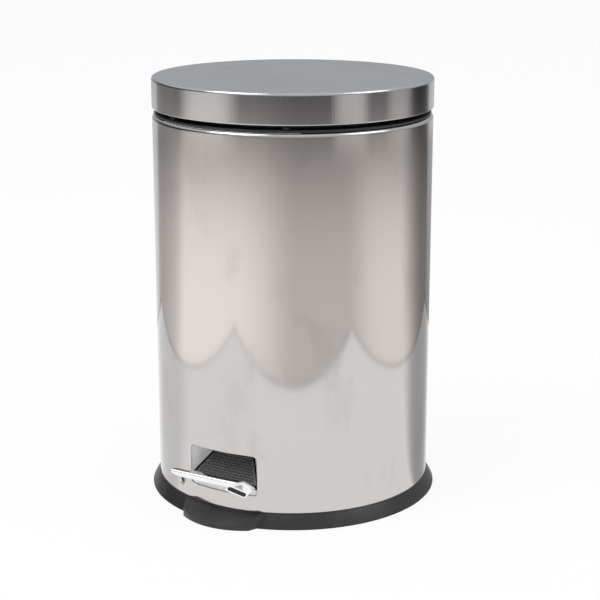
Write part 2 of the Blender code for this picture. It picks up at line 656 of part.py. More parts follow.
def rod_guide(name, z):
    radius = BODY_INNER_RADIUS - CLEARANCE
    corner = on_wall(radius, GUIDE_HALF_WIDTH)
    turn = math.degrees(math.asin(GUIDE_HALF_WIDTH / radius))
    outline = [(-GUIDE_HALF_WIDTH, GUIDE_FRONT_Y), (GUIDE_HALF_WIDTH, GUIDE_FRONT_Y),
               (GUIDE_HALF_WIDTH, corner)]
    outline += arc(0.0, 0.0, radius, 90 - turn, 90 + turn, 4)[1:]
    guide = prism(name, outline, z, z + GUIDE_THICKNESS, "Z")
    hole = rod_along(name + "_hole", "Z", ROD_RADIUS + CLEARANCE, z - OVERCUT, z + GUIDE_THICKNESS + OVERCUT,
                     (0.0, ROD_Y), 16)
    return as_part(cut(guide, as_cutter(hole)), BLACK_PLASTIC)


def top_collar(notch):
    wall = MOUTH_RADIUS - CLEARANCE
    foot = COLLAR_FOOT_Z - COLLAR_DEPTH
    profile = [(COLLAR_MOUTH_RADIUS, COLLAR_TOP_Z), (COLLAR_FLANGE_RADIUS, COLLAR_TOP_Z),
               (COLLAR_FLANGE_RADIUS, COLLAR_FOOT_Z), (wall, COLLAR_FOOT_Z), (wall, foot),
               (wall - COLLAR_WALL, foot), (wall - COLLAR_WALL, COLLAR_FOOT_Z),
               (COLLAR_MOUTH_RADIUS, COLLAR_FOOT_Z)]
    collar = cut(turned("top_collar", profile, INNER_STEPS), notch)
    return as_part(collar, BLACK_PLASTIC)


def hinge_housing():
    back = HINGE_Y + HOUSING_EAR_RADIUS
    front = on_wall(BODY_RADIUS, HOUSING_HALF_WIDTH)
    housing = box("hinge_housing", (-HOUSING_HALF_WIDTH, front, HOUSING_FOOT_Z),
                  (HOUSING_HALF_WIDTH, back, HOUSING_TOP_Z))
    root = HOUSING_TOP_Z - HOUSING_EAR_ROOT
    ear = [(HINGE_Y - HOUSING_EAR_RADIUS, root), (back, root)]
    ear += arc(HINGE_Y, HINGE_Z, HOUSING_EAR_RADIUS, 0, 180, 12)
    cut(housing, as_cutter(prism("housing_ears", ear, -HOUSING_HALF_WIDTH, HOUSING_HALF_WIDTH, "X")), "UNION")
    above = HINGE_Z + HOUSING_EAR_RADIUS + OVERCUT
    below = HOUSING_FOOT_Z - OVERCUT
    body = rod_along("housing_seat", "Z", BODY_RADIUS + CLEARANCE, below, above, (0.0, 0.0), ROUND_STEPS)
    cut(housing, as_cutter(body))
    slot = box("housing_slot", (-HINGE_SLOT_HALF_WIDTH, ROD_PAD_FRONT_Y, HOUSING_FOOT_Z + HOUSING_SLOT_FLOOR),
               (HINGE_SLOT_HALF_WIDTH, back + OVERCUT, above))
    cut(housing, as_cutter(slot))
    aside = HOUSING_HALF_WIDTH + OVERCUT
    hole = rod_along("housing_hole", "X", HINGE_PIN_RADIUS + CLEARANCE, -aside, aside, (HINGE_Y, HINGE_Z))
    return as_part(cut(housing, as_cutter(hole)), BLACK_PLASTIC)


def hinge_pin():
    half = HOUSING_HALF_WIDTH + CLEARANCE
    return headed_pin("hinge_pin", half, HINGE_PIN_RADIUS, HINGE_PIN_HEAD, HINGE_PIN_HEAD_LENGTH,
                      HINGE_Y, HINGE_Z)


def carry_handle():
    """A bent tube across the back, its ends on two round feet."""
    rear = HANDLE_REACH - HANDLE_RADIUS
    root = on_wall(BODY_RADIUS, HANDLE_HALF_SPAN - HANDLE_FOOT_RADIUS) + 2 * CLEARANCE + HANDLE_FOOT_THICKNESS
    bend = (rear - root) * HANDLE_BEND_SHARE
    half = [(HANDLE_HALF_SPAN, root)]
    half += arc(HANDLE_HALF_SPAN - bend, rear - bend, bend, 0, 90, 8)
    points = half + [(-across, y) for across, y in reversed(half)]
    handle = wire("carry_handle", [(across, y, HANDLE_Z) for across, y in points], HANDLE_RADIUS)
    return as_part(handle, CHROME)


def handle_foot(name, side):
    """A round foot shaped to the body behind one end of the handle."""
    root = on_wall(BODY_RADIUS, HANDLE_HALF_SPAN - HANDLE_FOOT_RADIUS) + CLEARANCE + HANDLE_FOOT_THICKNESS
    inner = on_wall(BODY_RADIUS, HANDLE_HALF_SPAN + HANDLE_FOOT_RADIUS) - HANDLE_FOOT_SEAT
    foot = rod_along(name, "Y", HANDLE_FOOT_RADIUS, inner, root, (side * HANDLE_HALF_SPAN, HANDLE_Z))
    reach = HANDLE_FOOT_RADIUS + OVERCUT
    body = rod_along(name + "_seat", "Z", BODY_RADIUS + CLEARANCE, HANDLE_Z - reach, HANDLE_Z + reach,
                     (0.0, 0.0), ROUND_STEPS)
    return as_part(cut(foot, as_cutter(body)), CHROME)


def inner_bucket():
    inside = BUCKET_FLOOR_RADIUS - BUCKET_WALL
    profile = [(0.0, BUCKET_FLOOR_Z + BUCKET_WALL), (inside, BUCKET_FLOOR_Z + BUCKET_WALL),
               (BUCKET_MOUTH_RADIUS - BUCKET_WALL, RIM_TOP_Z), (BUCKET_RIM_RADIUS, RIM_TOP_Z),
               (BUCKET_RIM_RADIUS, RIM_FOOT_Z), (BUCKET_MOUTH_RADIUS, RIM_FOOT_Z),
               (BUCKET_FLOOR_RADIUS, BUCKET_FLOOR_Z), (0.0, BUCKET_FLOOR_Z)]
    return as_part(turned("inner_bucket", profile, INNER_STEPS, closed=False), DARK_GREY_PLASTIC)


def bail_axis_z():
    return RIM_TOP_Z + CLEARANCE + BAIL_EAR_HEIGHT / 2


def bail_ear(name, side):
    middle = BUCKET_RIM_RADIUS - BAIL_EAR_THICKNESS
    low, high = sorted((side * (middle - BAIL_EAR_THICKNESS / 2), side * (middle + BAIL_EAR_THICKNESS / 2)))
    foot = RIM_TOP_Z + CLEARANCE
    half = BAIL_EAR_LENGTH / 2
    ear = box(name, (low, -half, foot), (high, half, foot + BAIL_EAR_HEIGHT))
    hole = rod_along(name + "_hole", "X", BAIL_WIRE + CLEARANCE, -BODY_RADIUS, BODY_RADIUS,
                     (0.0, bail_axis_z()), 16)
    return as_part(cut(ear, as_cutter(hole)), DARK_GREY_PLASTIC)


def bail_point(turn):
    """A point on the bow of the bail, which lies flat towards the front; turn is 0 at the right-hand end."""
    return (BAIL_RADIUS * math.cos(turn), -BAIL_RADIUS * math.sin(turn), bail_axis_z())


def bucket_bail():
    end = (BUCKET_RIM_RADIUS - BAIL_EAR_THICKNESS / 2, 0.0, bail_axis_z())
    steps = 28
    lead = math.radians(6.0)
    bow = [bail_point(lead + (math.pi - 2 * lead) * step / steps) for step in range(steps + 1)]
    knee = BAIL_RADIUS - BAIL_WIRE / 2
    points = [end, (knee, 0.0, bail_axis_z())] + bow
    points += [(-knee, 0.0, bail_axis_z()), (-end[0], 0.0, bail_axis_z())]
    return as_part(wire("bucket_bail", points, BAIL_WIRE), SATIN_STEEL)


def bail_grip():
    """A split plastic sleeve, open along its underside, clipped on the middle of the bail."""
    section = arc(0.0, 0.0, GRIP_RADIUS, -60, 240, 12) + arc(0.0, 0.0, BAIL_WIRE + CLEARANCE, 240, -60, 12)
    steps = 8
    work = bmesh.new()
    rings = []
    for step in range(steps + 1):
        turn = math.pi / 2 + GRIP_HALF_ANGLE * (2 * step / steps - 1)
        out = Matrix.Rotation(-turn, 3, "Z")
        rings.append([work.verts.new(out @ Vector((BAIL_RADIUS + across, 0.0, bail_axis_z() + up)))
                      for across, up in section])
    for ring, following in zip(rings, rings[1:]):
        count = len(ring)
        for index in range(count):
            after = (index + 1) % count
            work.faces.new((ring[index], ring[after], following[after], following[index]))
    work.faces.new(rings[0][::-1])
    work.faces.new(rings[-1])
    bmesh.ops.recalc_face_normals(work, faces=work.faces)
    return as_part(mesh_object("bail_grip", work), BLACK_PLASTIC)


def lid_cover(carrier, notch):
    edge = LID_RADIUS - LID_EDGE_RADIUS
    edge_z = LID_TOP_Z - LID_EDGE_RADIUS
    inner = LID_RADIUS - SHEET
    hem_top = LID_SKIRT_Z + LID_HEM
    hem_inner = LID_RADIUS - LID_HEM
    profile = [(0.0, LID_TOP_Z - SHEET), (edge, LID_TOP_Z - SHEET)]
    profile += arc(edge, edge_z, LID_EDGE_RADIUS - SHEET, 90, 0, 3)[1:]
    profile += [(inner, hem_top), (hem_inner, hem_top), (hem_inner, LID_SKIRT_Z), (LID_RADIUS, LID_SKIRT_Z)]
    profile += arc(edge, edge_z, LID_EDGE_RADIUS, 0, 90, 4)
    profile += [(0.0, LID_TOP_Z)]
    cover = turned("lid_cover", profile[::-1], ROUND_STEPS, closed=False)
    return as_part(cut(cover, notch), SATIN_STEEL, carrier)


def lid_liner(carrier, notch):
    disc = LID_RADIUS - LID_EDGE_RADIUS - CLEARANCE
    inner = LINER_WALL_RADIUS - LINER_WALL
    profile = [(0.0, LINER_TOP_Z), (disc, LINER_TOP_Z), (disc, LINER_FACE_Z),
               (LINER_WALL_RADIUS, LINER_FACE_Z), (LINER_WALL_RADIUS, LINER_FOOT_Z),
               (inner, LINER_FOOT_Z), (inner, LINER_FACE_Z), (0.0, LINER_FACE_Z)]
    liner = turned("lid_liner", profile, INNER_STEPS, closed=False)
    return as_part(cut(liner, notch), BLACK_PLASTIC, carrier)


def lid_buffer(name, side, carrier):
    """A rubber button under the front of the liner's wall, which lands on the collar."""
    reach = LINER_WALL_RADIUS - LINER_WALL / 2
    place = (side * reach * math.sin(BUFFER_SPREAD), -reach * math.cos(BUFFER_SPREAD))
    foot = COLLAR_TOP_Z + CLEARANCE
    button = rod_along(name, "Z", BUFFER_RADIUS, foot, LINER_FOOT_Z - CLEARANCE, place, 16)
    return as_part(button, BLACK_RUBBER, carrier)


def lid_hinge_arm(carrier):
    """A moulded arm from under the liner to the hinge barrel, with a gullet that lets the rod's pad pass."""
    ceiling = LINER_FACE_Z - CLEARANCE
    wall = LINER_WALL_RADIUS - LINER_WALL - 2 * CLEARANCE
    lintel = HINGE_NOTCH_TOP_Z - CLEARANCE
    tail = wall - HINGE_ARM_TAIL
    gullet_turn = 180 + math.degrees(math.asin((HINGE_Z - GULLET_Z) / HINGE_BARREL_RADIUS))
    outline = [(tail, ceiling), (tail, ceiling - HINGE_ARM_TAIL_HEIGHT)]
    outline += arc(HINGE_KNOB_Y, HINGE_KNOB_Z, HINGE_KNOB_RADIUS, 170, 360, 12)
    outline += [(HINGE_KNOB_Y + HINGE_KNOB_RADIUS, GULLET_Z)]
    outline += arc(HINGE_Y, HINGE_Z, HINGE_BARREL_RADIUS, gullet_turn, 440, 16)
    outline += [(HINGE_Y - HINGE_ARM_SHOULDER, lintel), (wall, lintel), (wall, ceiling)]
    arm = prism("lid_hinge_arm", outline, -HINGE_ARM_HALF_WIDTH, HINGE_ARM_HALF_WIDTH, "X")
    aside = HINGE_ARM_HALF_WIDTH + OVERCUT
    hole = rod_along("arm_hole", "X", HINGE_PIN_RADIUS + CLEARANCE, -aside, aside, (HINGE_Y, HINGE_Z))
    return as_part(cut(arm, as_cutter(hole)), BLACK_PLASTIC, carrier)


def build():
    lid = pivot("lid_pivot", HINGE_Y, HINGE_Z)
    pedal = pivot("pedal_axis", PIVOT_Y, PIVOT_Z)
    rod = pivot("rod_axis", ROD_Y, ROD_LEG_Z)
    notch = hinge_notch("hinge_notch")
    body_shell(notch)
    base_ring()
    base_plate()
    recess_surround()
    toe_ramp()
    pivot_bracket("pivot_bracket_left", -1)
    pivot_bracket("pivot_bracket_right", 1)
    pivot_pin()
    rod_guide("rod_guide_lower", GUIDE_LOWER_Z)
    rod_guide("rod_guide_upper", GUIDE_UPPER_Z)
    top_collar(notch)
    hinge_housing()
    hinge_pin()
    carry_handle()
    handle_foot("handle_foot_left", -1)
    handle_foot("handle_foot_right", 1)
    inner_bucket()
    bail_ear("bail_ear_left", -1)
    bail_ear("bail_ear_right", 1)
    bucket_bail()
    bail_grip()
    lid_cover(lid, notch)
    lid_liner(lid, notch)
    lid_hinge_arm(lid)
    lid_buffer("lid_buffer_left", -1, lid)
    lid_buffer("lid_buffer_right", 1, lid)
    pedal_lever(pedal)
    pedal_plate(pedal)
    push_rod(rod)
    rod_foot(rod)
    rod_tip_pad(rod)


build()
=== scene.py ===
# %% [markdown]
# A round pedal bin: a polished steel body on a black base ring, a flat steel lid and a pedal that lifts it.
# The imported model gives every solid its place, in metres, so this lesson only adds looks to it.
# Each step says what the real piece is, how it could be made, and why it is made this way here.

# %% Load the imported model
import json
import math

import bmesh
import bpy
from mathutils import Matrix, Vector


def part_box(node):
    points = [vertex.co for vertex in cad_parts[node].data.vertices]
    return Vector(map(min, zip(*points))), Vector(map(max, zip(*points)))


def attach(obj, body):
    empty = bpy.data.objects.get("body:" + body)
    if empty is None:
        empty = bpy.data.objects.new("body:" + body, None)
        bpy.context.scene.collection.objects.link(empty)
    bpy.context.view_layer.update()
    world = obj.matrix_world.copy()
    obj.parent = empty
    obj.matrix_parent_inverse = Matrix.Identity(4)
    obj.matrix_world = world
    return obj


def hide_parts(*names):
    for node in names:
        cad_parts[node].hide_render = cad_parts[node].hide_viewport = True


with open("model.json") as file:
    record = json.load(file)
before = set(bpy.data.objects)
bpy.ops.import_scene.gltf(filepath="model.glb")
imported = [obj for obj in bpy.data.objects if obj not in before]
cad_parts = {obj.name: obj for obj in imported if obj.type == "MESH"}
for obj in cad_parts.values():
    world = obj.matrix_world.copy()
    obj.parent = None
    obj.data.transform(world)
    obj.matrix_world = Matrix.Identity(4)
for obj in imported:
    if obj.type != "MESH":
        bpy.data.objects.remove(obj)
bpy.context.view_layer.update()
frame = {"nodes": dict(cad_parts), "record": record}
nodes = frame["nodes"]
slot_of = {row["node"]: row["material_slot"] for row in frame["record"]["subparts"]}
body_of = {node: body for body, names in frame["record"]["behaviour"]["bodies"].items() for node in names}

# %% [markdown]
# The camera stands a little to the right of the pedal and looks down on the bin.
# A camera could be aimed with a constraint, but plain numbers are easier to check against a picture.
# Its distance, height, tilt and lens come from fitting circles of the known size to the bin's outline.

# %% Camera
CAMERA_AZIMUTH = math.radians(30.5)
CAMERA_DISTANCE = 1.6379
CAMERA_HEIGHT = 0.6415
CAMERA_TILT = 0.2623
CAMERA_TURN = 0.0046
CAMERA_LENS_MM = 94.02
SENSOR_MM = 36.0

scene = bpy.context.scene
scene.view_settings.view_transform = "Standard"
camera_data = bpy.data.cameras.new("camera")
camera_data.lens = CAMERA_LENS_MM
camera_data.sensor_width = SENSOR_MM
camera = bpy.data.objects.new("camera", camera_data)
camera.location = (CAMERA_DISTANCE * math.sin(CAMERA_AZIMUTH), -CAMERA_DISTANCE * math.cos(CAMERA_AZIMUTH),
                   CAMERA_HEIGHT)
camera.rotation_euler = (math.pi / 2 - CAMERA_TILT, 0.0, CAMERA_AZIMUTH - CAMERA_TURN)
scene.collection.objects.link(camera)
scene.camera = camera
print("camera at", [round(value, 3) for value in camera.location])

# %% [markdown]
# A finish is a tree of shader nodes. Wiring nodes one by one is long, so one small class wraps a socket.
# With it, sums are written as Python and each operator adds its own Math node.
# Any other node comes from the one method called node, which sets the settings first and the sockets after.

# %% Shader maths
class Flow:
    """One output socket of a node tree."""

    def __init__(self, socket):
        self.socket = socket

    def node(self, kind, settings=None, sockets=None, output=0):
        tree = self.socket.id_data
        made = tree.nodes.new(kind)
        for key, value in (settings or {}).items():
            setattr(made, key, value)
        for key, value in (sockets or {}).items():
            if isinstance(value, Flow):
                tree.links.new(value.socket, made.inputs[key])
            else:
                made.inputs[key].default_value = value
        return Flow(made.outputs[output])

    def maths(self, operation, first, second):
        return self.node("ShaderNodeMath", {"operation": operation}, {0: first, 1: second})

    def __add__(self, other):
        return self.maths("ADD", self, other)

    __radd__ = __add__

    def __sub__(self, other):
        return self.maths("SUBTRACT", self, other)

    def __rsub__(self, other):
        return self.maths("SUBTRACT", other, self)

    def __mul__(self, other):
        return self.maths("MULTIPLY", self, other)

    __rmul__ = __mul__

    def __truediv__(self, other):
        return self.maths("DIVIDE", self, other)

    def __rtruediv__(self, other):
        return self.maths("DIVIDE", other, self)

    def between(self, low, high):
        """0 below low, 1 above high, with a smooth step from one to the other."""
        sockets = {0: self, 1: low, 2: high}
        return self.node("ShaderNodeMapRange", {"interpolation_type": "SMOOTHSTEP"}, sockets)

    def mix(self, first, second):
        """From the first colour to the second, by this value."""
        return self.node("ShaderNodeMix", {"data_type": "RGBA"}, {0: self, 6: first, 7: second}, 2)

    def noise(self, scale, detail=2.0):
        """Noise on this vector, with a scale for each axis, in waves per metre."""
        stretched = self.node("ShaderNodeMapping", None, {"Vector": self, "Scale": scale})
        return self.node("ShaderNodeTexNoise", None, {"Vector": stretched, "Scale": 1.0, "Detail": detail})

    def bump(self, strength, distance):
        """A normal that rises and falls with this value."""
        return self.node("ShaderNodeBump", None, {"Height": self, "Strength": strength, "Distance": distance})

    def axis(self, index):
        """One part of this vector."""
        return self.node("ShaderNodeSeparateXYZ", None, {0: self}, index)


def open_finish(name):
    """A new material with its shader and its place in the object's own metres."""
    material = bpy.data.materials.new(name)
    material.use_nodes = True
    tree = material.node_tree
    place = Flow(tree.nodes.new("ShaderNodeTexCoord").outputs["Object"])
    return material, tree.nodes["Principled BSDF"], place


def feed(shader, sockets):
    """Sets or links the sockets of a shader."""
    for key, value in sockets.items():
        if isinstance(value, Flow):
            shader.id_data.links.new(value.socket, shader.inputs[key])
        else:
            shader.inputs[key].default_value = value


print("shader maths ready")

# %% [markdown]
# The steel of the body is rolled sheet, polished until it mirrors, with fine upright streaks from the rolls.
# An image of scratches would need UVs, so the streaks are noise, squeezed across and drawn out in height.
# The streaks move the roughness and a very small bump, and broad smudges soften the mirror here and there.
# Each noise has its waves per metre along X, Y and Z as its scale.

# %% Polished steel
STEEL = (0.62, 0.605, 0.595, 1.0)
STEEL_DULL = (0.575, 0.558, 0.545, 1.0)
STREAK_SCALE = (620.0, 620.0, 5.0)
BAND_SCALE = (70.0, 70.0, 1.6)
SMUDGE_SCALE = (16.0, 16.0, 11.0)
MIRROR_ROUGHNESS = 0.06


def polished_steel(name):
    """Sheet that mirrors, with upright streaks and a few smudges."""
    material, shader, place = open_finish(name)
    streaks = place.noise(STREAK_SCALE, 3.0)
    bands = place.noise(BAND_SCALE, 3.0)
    smudges = place.noise(SMUDGE_SCALE, 5.0).between(0.52, 0.74)
    marks = (bands * 0.5 + smudges * 0.5).between(0.25, 0.7)
    feed(shader, {"Metallic": 1.0, "Base Color": marks.mix(STEEL, STEEL_DULL),
                  "Roughness": MIRROR_ROUGHNESS + streaks * 0.05 + smudges * 0.06,
                  "Normal": (streaks + bands * 0.25).bump(0.06, 0.0004)})
    return material


body_steel = polished_steel("body_steel")
print("made", body_steel.name)

# %% [markdown]
# The lid is pressed from the same sheet, but its flat top is brushed to a satin grey and its skirt is bright.
# Two materials would need a cut in the mesh, so one material reads the height and changes at the round edge.
# The brush marks are long thin noise along one direction, as a belt leaves them.

# %% Lid steel
LID_TOP_Z = 0.445
LID_RADIUS = 0.1473
SKIRT = (0.6, 0.605, 0.62, 1.0)
SATIN = (0.49, 0.502, 0.518, 1.0)
SATIN_DULL = (0.445, 0.457, 0.473, 1.0)
SATIN_STARTS = 0.0011
SATIN_FULL = 0.0002
BRUSH_SCALE = (7.0, 900.0, 900.0)
ROLL_SCALE = (620.0, 620.0, 9.0)
WEAR_SCALE = (11.0, 11.0, 11.0)
SKIRT_ROUGHNESS = 0.07
SATIN_ROUGHNESS = 0.33


def lid_steel(name):
    """Sheet that is satin on the flat top and bright on the skirt."""
    material, shader, place = open_finish(name)
    top = place.axis(2).between(LID_TOP_Z - SATIN_STARTS, LID_TOP_Z - SATIN_FULL)
    brush = place.noise(BRUSH_SCALE, 3.0)
    rolls = place.noise(ROLL_SCALE, 3.0)
    wear = place.noise(WEAR_SCALE, 5.0).between(0.45, 0.8)
    colour = top.mix(SKIRT, wear.mix(SATIN, SATIN_DULL))
    bright = SKIRT_ROUGHNESS + rolls * 0.06
    satin = SATIN_ROUGHNESS + brush * 0.1 - wear * 0.05
    feed(shader, {"Metallic": 1.0, "Base Color": colour, "Roughness": bright + top * (satin - bright),
                  "Normal": (top * brush + (1.0 - top) * rolls).bump(0.12, 0.0004)})
    return material


lid_finish = lid_steel("lid_steel")
print("made", lid_finish.name)

# %% [markdown]
# The recess round the pedal is pressed from the same sheet, but nobody polishes the inside of a pressing.
# A duller mirror would still show the dark ramp, so this finish is mostly matt, with a fine upright grain.

# %% Matt pressing
RECESS = (0.9, 0.89, 0.88, 1.0)
RECESS_DULL = (0.85, 0.84, 0.83, 1.0)
RECESS_METAL = 0.2
RECESS_ROUGHNESS = 0.42
RECESS_GRAIN_SCALE = (300.0, 300.0, 20.0)


def matt_pressing(name):
    """The pressed recess round the pedal: bright, but too matt to mirror the dark ramp."""
    material, shader, place = open_finish(name)
    grain = place.noise(RECESS_GRAIN_SCALE, 3.0)
    feed(shader, {"Metallic": RECESS_METAL, "Base Color": grain.between(0.3, 0.7).mix(RECESS_DULL, RECESS),
                  "Roughness": RECESS_ROUGHNESS + grain * 0.12, "Normal": grain.bump(0.08, 0.0003)})
    return material


recess_steel = matt_pressing("recess_steel")
print("made", recess_steel.name)

# %% [markdown]
# Chrome on the pedal and the carry handle is brighter and smoother than the steel, with a few finger marks.
# The rods, brackets and pins are plain bright-drawn steel, so they are duller and have a faint grain.

# %% Chrome and drawn steel
CHROME = (0.93, 0.93, 0.935, 1.0)
CHROME_DULL = (0.88, 0.88, 0.885, 1.0)
DRAWN = (0.5, 0.505, 0.51, 1.0)
DRAWN_DULL = (0.4, 0.4, 0.4, 1.0)
FINGER_SCALE = (60.0, 60.0, 60.0)
PLATING_SCALE = (30.0, 500.0, 500.0)
DRAWN_GRAIN_SCALE = (900.0, 60.0, 900.0)
TARNISH_SCALE = (35.0, 35.0, 35.0)
CHROME_ROUGHNESS = 0.05
DRAWN_ROUGHNESS = 0.28


def chrome(name):
    """Bright plating with finger marks."""
    material, shader, place = open_finish(name)
    marks = place.noise(FINGER_SCALE, 5.0).between(0.5, 0.78)
    lines = place.noise(PLATING_SCALE, 2.0)
    feed(shader, {"Metallic": 1.0, "Base Color": marks.mix(CHROME, CHROME_DULL),
                  "Roughness": CHROME_ROUGHNESS + marks * 0.06 + lines * 0.02,
                  "Normal": lines.bump(0.006, 0.0002)})
    return material


def drawn_steel(name):
    """Plain steel with a faint grain and some tarnish."""
    material, shader, place = open_finish(name)
    grain = place.noise(DRAWN_GRAIN_SCALE, 3.0)
    tarnish = place.noise(TARNISH_SCALE, 5.0).between(0.45, 0.7)
    feed(shader, {"Metallic": 1.0, "Base Color": tarnish.mix(DRAWN, DRAWN_DULL),
                  "Roughness": DRAWN_ROUGHNESS + grain * 0.12 + tarnish * 0.08,
                  "Normal": grain.bump(0.1, 0.0003)})
    return material


chrome_finish = chrome("chrome")
drawn_finish = drawn_steel("drawn_steel")
print("made", chrome_finish.name, drawn_finish.name)

# %% [markdown]
# The base ring, the collar and the hinge are moulded black plastic with a fine spark-eroded grain.
# The bucket is the same kind of plastic in dark grey, with faint upright lines where the melt ran.
# The ramp and the buffers are rubber, matt and a little dusty; the dots on the ramp are far blacker than it,
# a painted shade.

# %% Plastics and rubber
BLACK = (0.018, 0.018, 0.0195, 1.0)
BLACK_WORN = (0.032, 0.032, 0.034, 1.0)
GREY = (0.095, 0.096, 0.1, 1.0)
GREY_WORN = (0.125, 0.126, 0.13, 1.0)
RUBBER = (0.016, 0.016, 0.017, 1.0)
RUBBER_DUSTY = (0.034, 0.033, 0.032, 1.0)
RAMP_RUBBER = (0.085, 0.086, 0.088, 1.0)
RAMP_DUSTY = (0.115, 0.114, 0.112, 1.0)
SEAL = (0.075, 0.04, 0.03, 1.0)
SEAL_DARK = (0.04, 0.022, 0.018, 1.0)
MOULD_GRAIN_SCALE = (1500.0, 1500.0, 1500.0)
SCUFF_SCALE = (28.0, 28.0, 28.0)
MELT_LINE_SCALE = (130.0, 130.0, 3.0)


def moulded(name, clean, worn, roughness, flow_lines):
    """Plastic or rubber with a fine grain, worn patches and a share of upright flow lines."""
    material, shader, place = open_finish(name)
    grain = place.noise(MOULD_GRAIN_SCALE, 2.0)
    scuffs = place.noise(SCUFF_SCALE, 6.0).between(0.48, 0.75)
    lines = place.noise(MELT_LINE_SCALE, 2.0)
    feed(shader, {"Base Color": scuffs.mix(clean, worn),
                  "Roughness": roughness + scuffs * 0.1 + lines * flow_lines * 0.1,
                  "Normal": (grain + lines * flow_lines).bump(0.14, 0.0003)})
    return material


black_plastic = moulded("black_plastic", BLACK, BLACK_WORN, 0.36, 0.0)
grey_plastic = moulded("grey_plastic", GREY, GREY_WORN, 0.42, 0.8)
black_rubber = moulded("black_rubber", RUBBER, RUBBER_DUSTY, 0.62, 0.0)
ramp_rubber = moulded("ramp_rubber", RAMP_RUBBER, RAMP_DUSTY, 0.66, 0.0)
seal_rubber = moulded("seal_rubber", SEAL, SEAL_DARK, 0.5, 0.0)
finishes = {"polished_steel": body_steel, "satin_steel": drawn_finish, "chrome": chrome_finish,
            "black_plastic": black_plastic, "grey_plastic": grey_plastic, "black_rubber": black_rubber}
print("finishes", sorted(finishes))

# %% [markdown]
# Most pieces of this bin are turned: one outline goes round the upright axis.
# The Spin tool would do it, but a short loop keeps the seam closed and the faces outward from the start.
# Helpers for cutting, smoothing and placing a piece come here too, because every piece needs them.

# %% Helpers for the pieces
SMOOTH_ANGLE = math.radians(32.0)
EDGE_SEGMENTS = 2
PLAIN_EDGE = 0.0003
FINE_EDGE = 0.0002
CUT_CLEAR = 0.01
AXIS_ORDER = {"X": (2, 0, 1), "Y": (0, 2, 1), "Z": (0, 1, 2)}
HANDS = ((-1, "left"), (1, "right"))


def arc(across, up, radius, start_deg, end_deg, steps):
    """Points of an arc in a flat outline."""
    turns = [math.radians(start_deg + (end_deg - start_deg) * step / steps) for step in range(steps + 1)]
    return [(across + radius * math.cos(turn), up + radius * math.sin(turn)) for turn in turns]


def new_piece(name, work):
    """An object at the origin from a bmesh, which is freed."""
    mesh = bpy.data.meshes.new(name)
    work.to_mesh(mesh)
    work.free()
    piece = bpy.data.objects.new(name, mesh)
    scene.collection.objects.link(piece)
    return piece


def turned(name, outline, steps):
    """A closed outline of (radius, height) points carried round the upright axis."""
    work = bmesh.new()
    rings = []
    for radius, height in outline:
        if radius == 0.0:
            rings.append([work.verts.new((0.0, 0.0, height))] * steps)
            continue
        turns = [2 * math.pi * step / steps for step in range(steps)]
        ring = [(radius * math.sin(turn), radius * math.cos(turn), height) for turn in turns]
        rings.append([work.verts.new(place) for place in ring])
    for lower, upper in zip(rings, rings[1:] + rings[:1]):
        for step in range(steps):
            after = (step + 1) % steps
            corners = [lower[step], lower[after], upper[after], upper[step]]
            single = list(dict.fromkeys(corners))
            if len(single) > 2:
                work.faces.new(single)
    bmesh.ops.recalc_face_normals(work, faces=work.faces)
    return new_piece(name, work)


def prism(name, outline, low, high, axis):
    """A straight bar with a flat outline, along X, Y or Z."""
    work = bmesh.new()
    caps = []
    for level in (low, high):
        places = [(first, second, level) for first, second in outline]
        caps.append([work.verts.new([place[index] for index in AXIS_ORDER[axis]]) for place in places])
    work.faces.new(caps[0])
    work.faces.new(caps[1][::-1])
    count = len(outline)
    for index in range(count):
        after = (index + 1) % count
        work.faces.new((caps[0][index], caps[1][index], caps[1][after], caps[0][after]))
    bmesh.ops.recalc_face_normals(work, faces=work.faces)
    return new_piece(name, work)


def made_plain(piece):
    """Turns a piece's live modifiers into a plain mesh."""
    graph = bpy.context.evaluated_depsgraph_get()
    mesh = bpy.data.meshes.new_from_object(piece.evaluated_get(graph), depsgraph=graph)
    piece.modifiers.clear()
    piece.data = mesh
    return piece


def combined(piece, other, operation):
    """Joins another piece to this one, or takes it out, and throws the other away."""
    boolean = piece.modifiers.new("combine", "BOOLEAN")
    boolean.operation = operation
    boolean.solver = "EXACT"
    boolean.object = other
    made_plain(piece)
    bpy.data.objects.remove(other)


def shaded(piece):
    """Shades a piece smooth, apart from its sharp edges."""
    piece.data.shade_smooth()
    piece.data.set_sharp_from_angle(angle=SMOOTH_ANGLE)


def softened(piece, width):
    """Rounds the sharp edges a little and shades the rest smooth."""
    bevel = piece.modifiers.new("edges", "BEVEL")
    bevel.width = width
    bevel.segments = EDGE_SEGMENTS
    bevel.limit_method = "ANGLE"
    bevel.angle_limit = SMOOTH_ANGLE
    made_plain(piece)
    shaded(piece)
    return piece


def dress(piece, material, body, slot, *replaced):
    """Gives a finished piece its material, puts it on its body and hides the solids it replaces."""
    piece.data.materials.clear()
    piece.data.materials.append(material)
    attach(piece, body)
    if replaced:
        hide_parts(*replaced)
    print(piece.name, "on", body, "with", len(piece.data.polygons), "faces")


print("helpers ready")

# %% [markdown]
# The body is one sheet of steel, rolled into a drum, with its top edge turned over in a round shoulder.
# A mirror shows every flat facet, so the drum has many more sides than the solid it stands for.
# A ring of points close under the shoulder keeps its round shading from bending the mirror image lower down.
# The opening for the pedal and the notch for the hinge are cut with a Boolean.
# The cut edge of the opening takes the matt finish of the recess, because nobody polishes a cut.

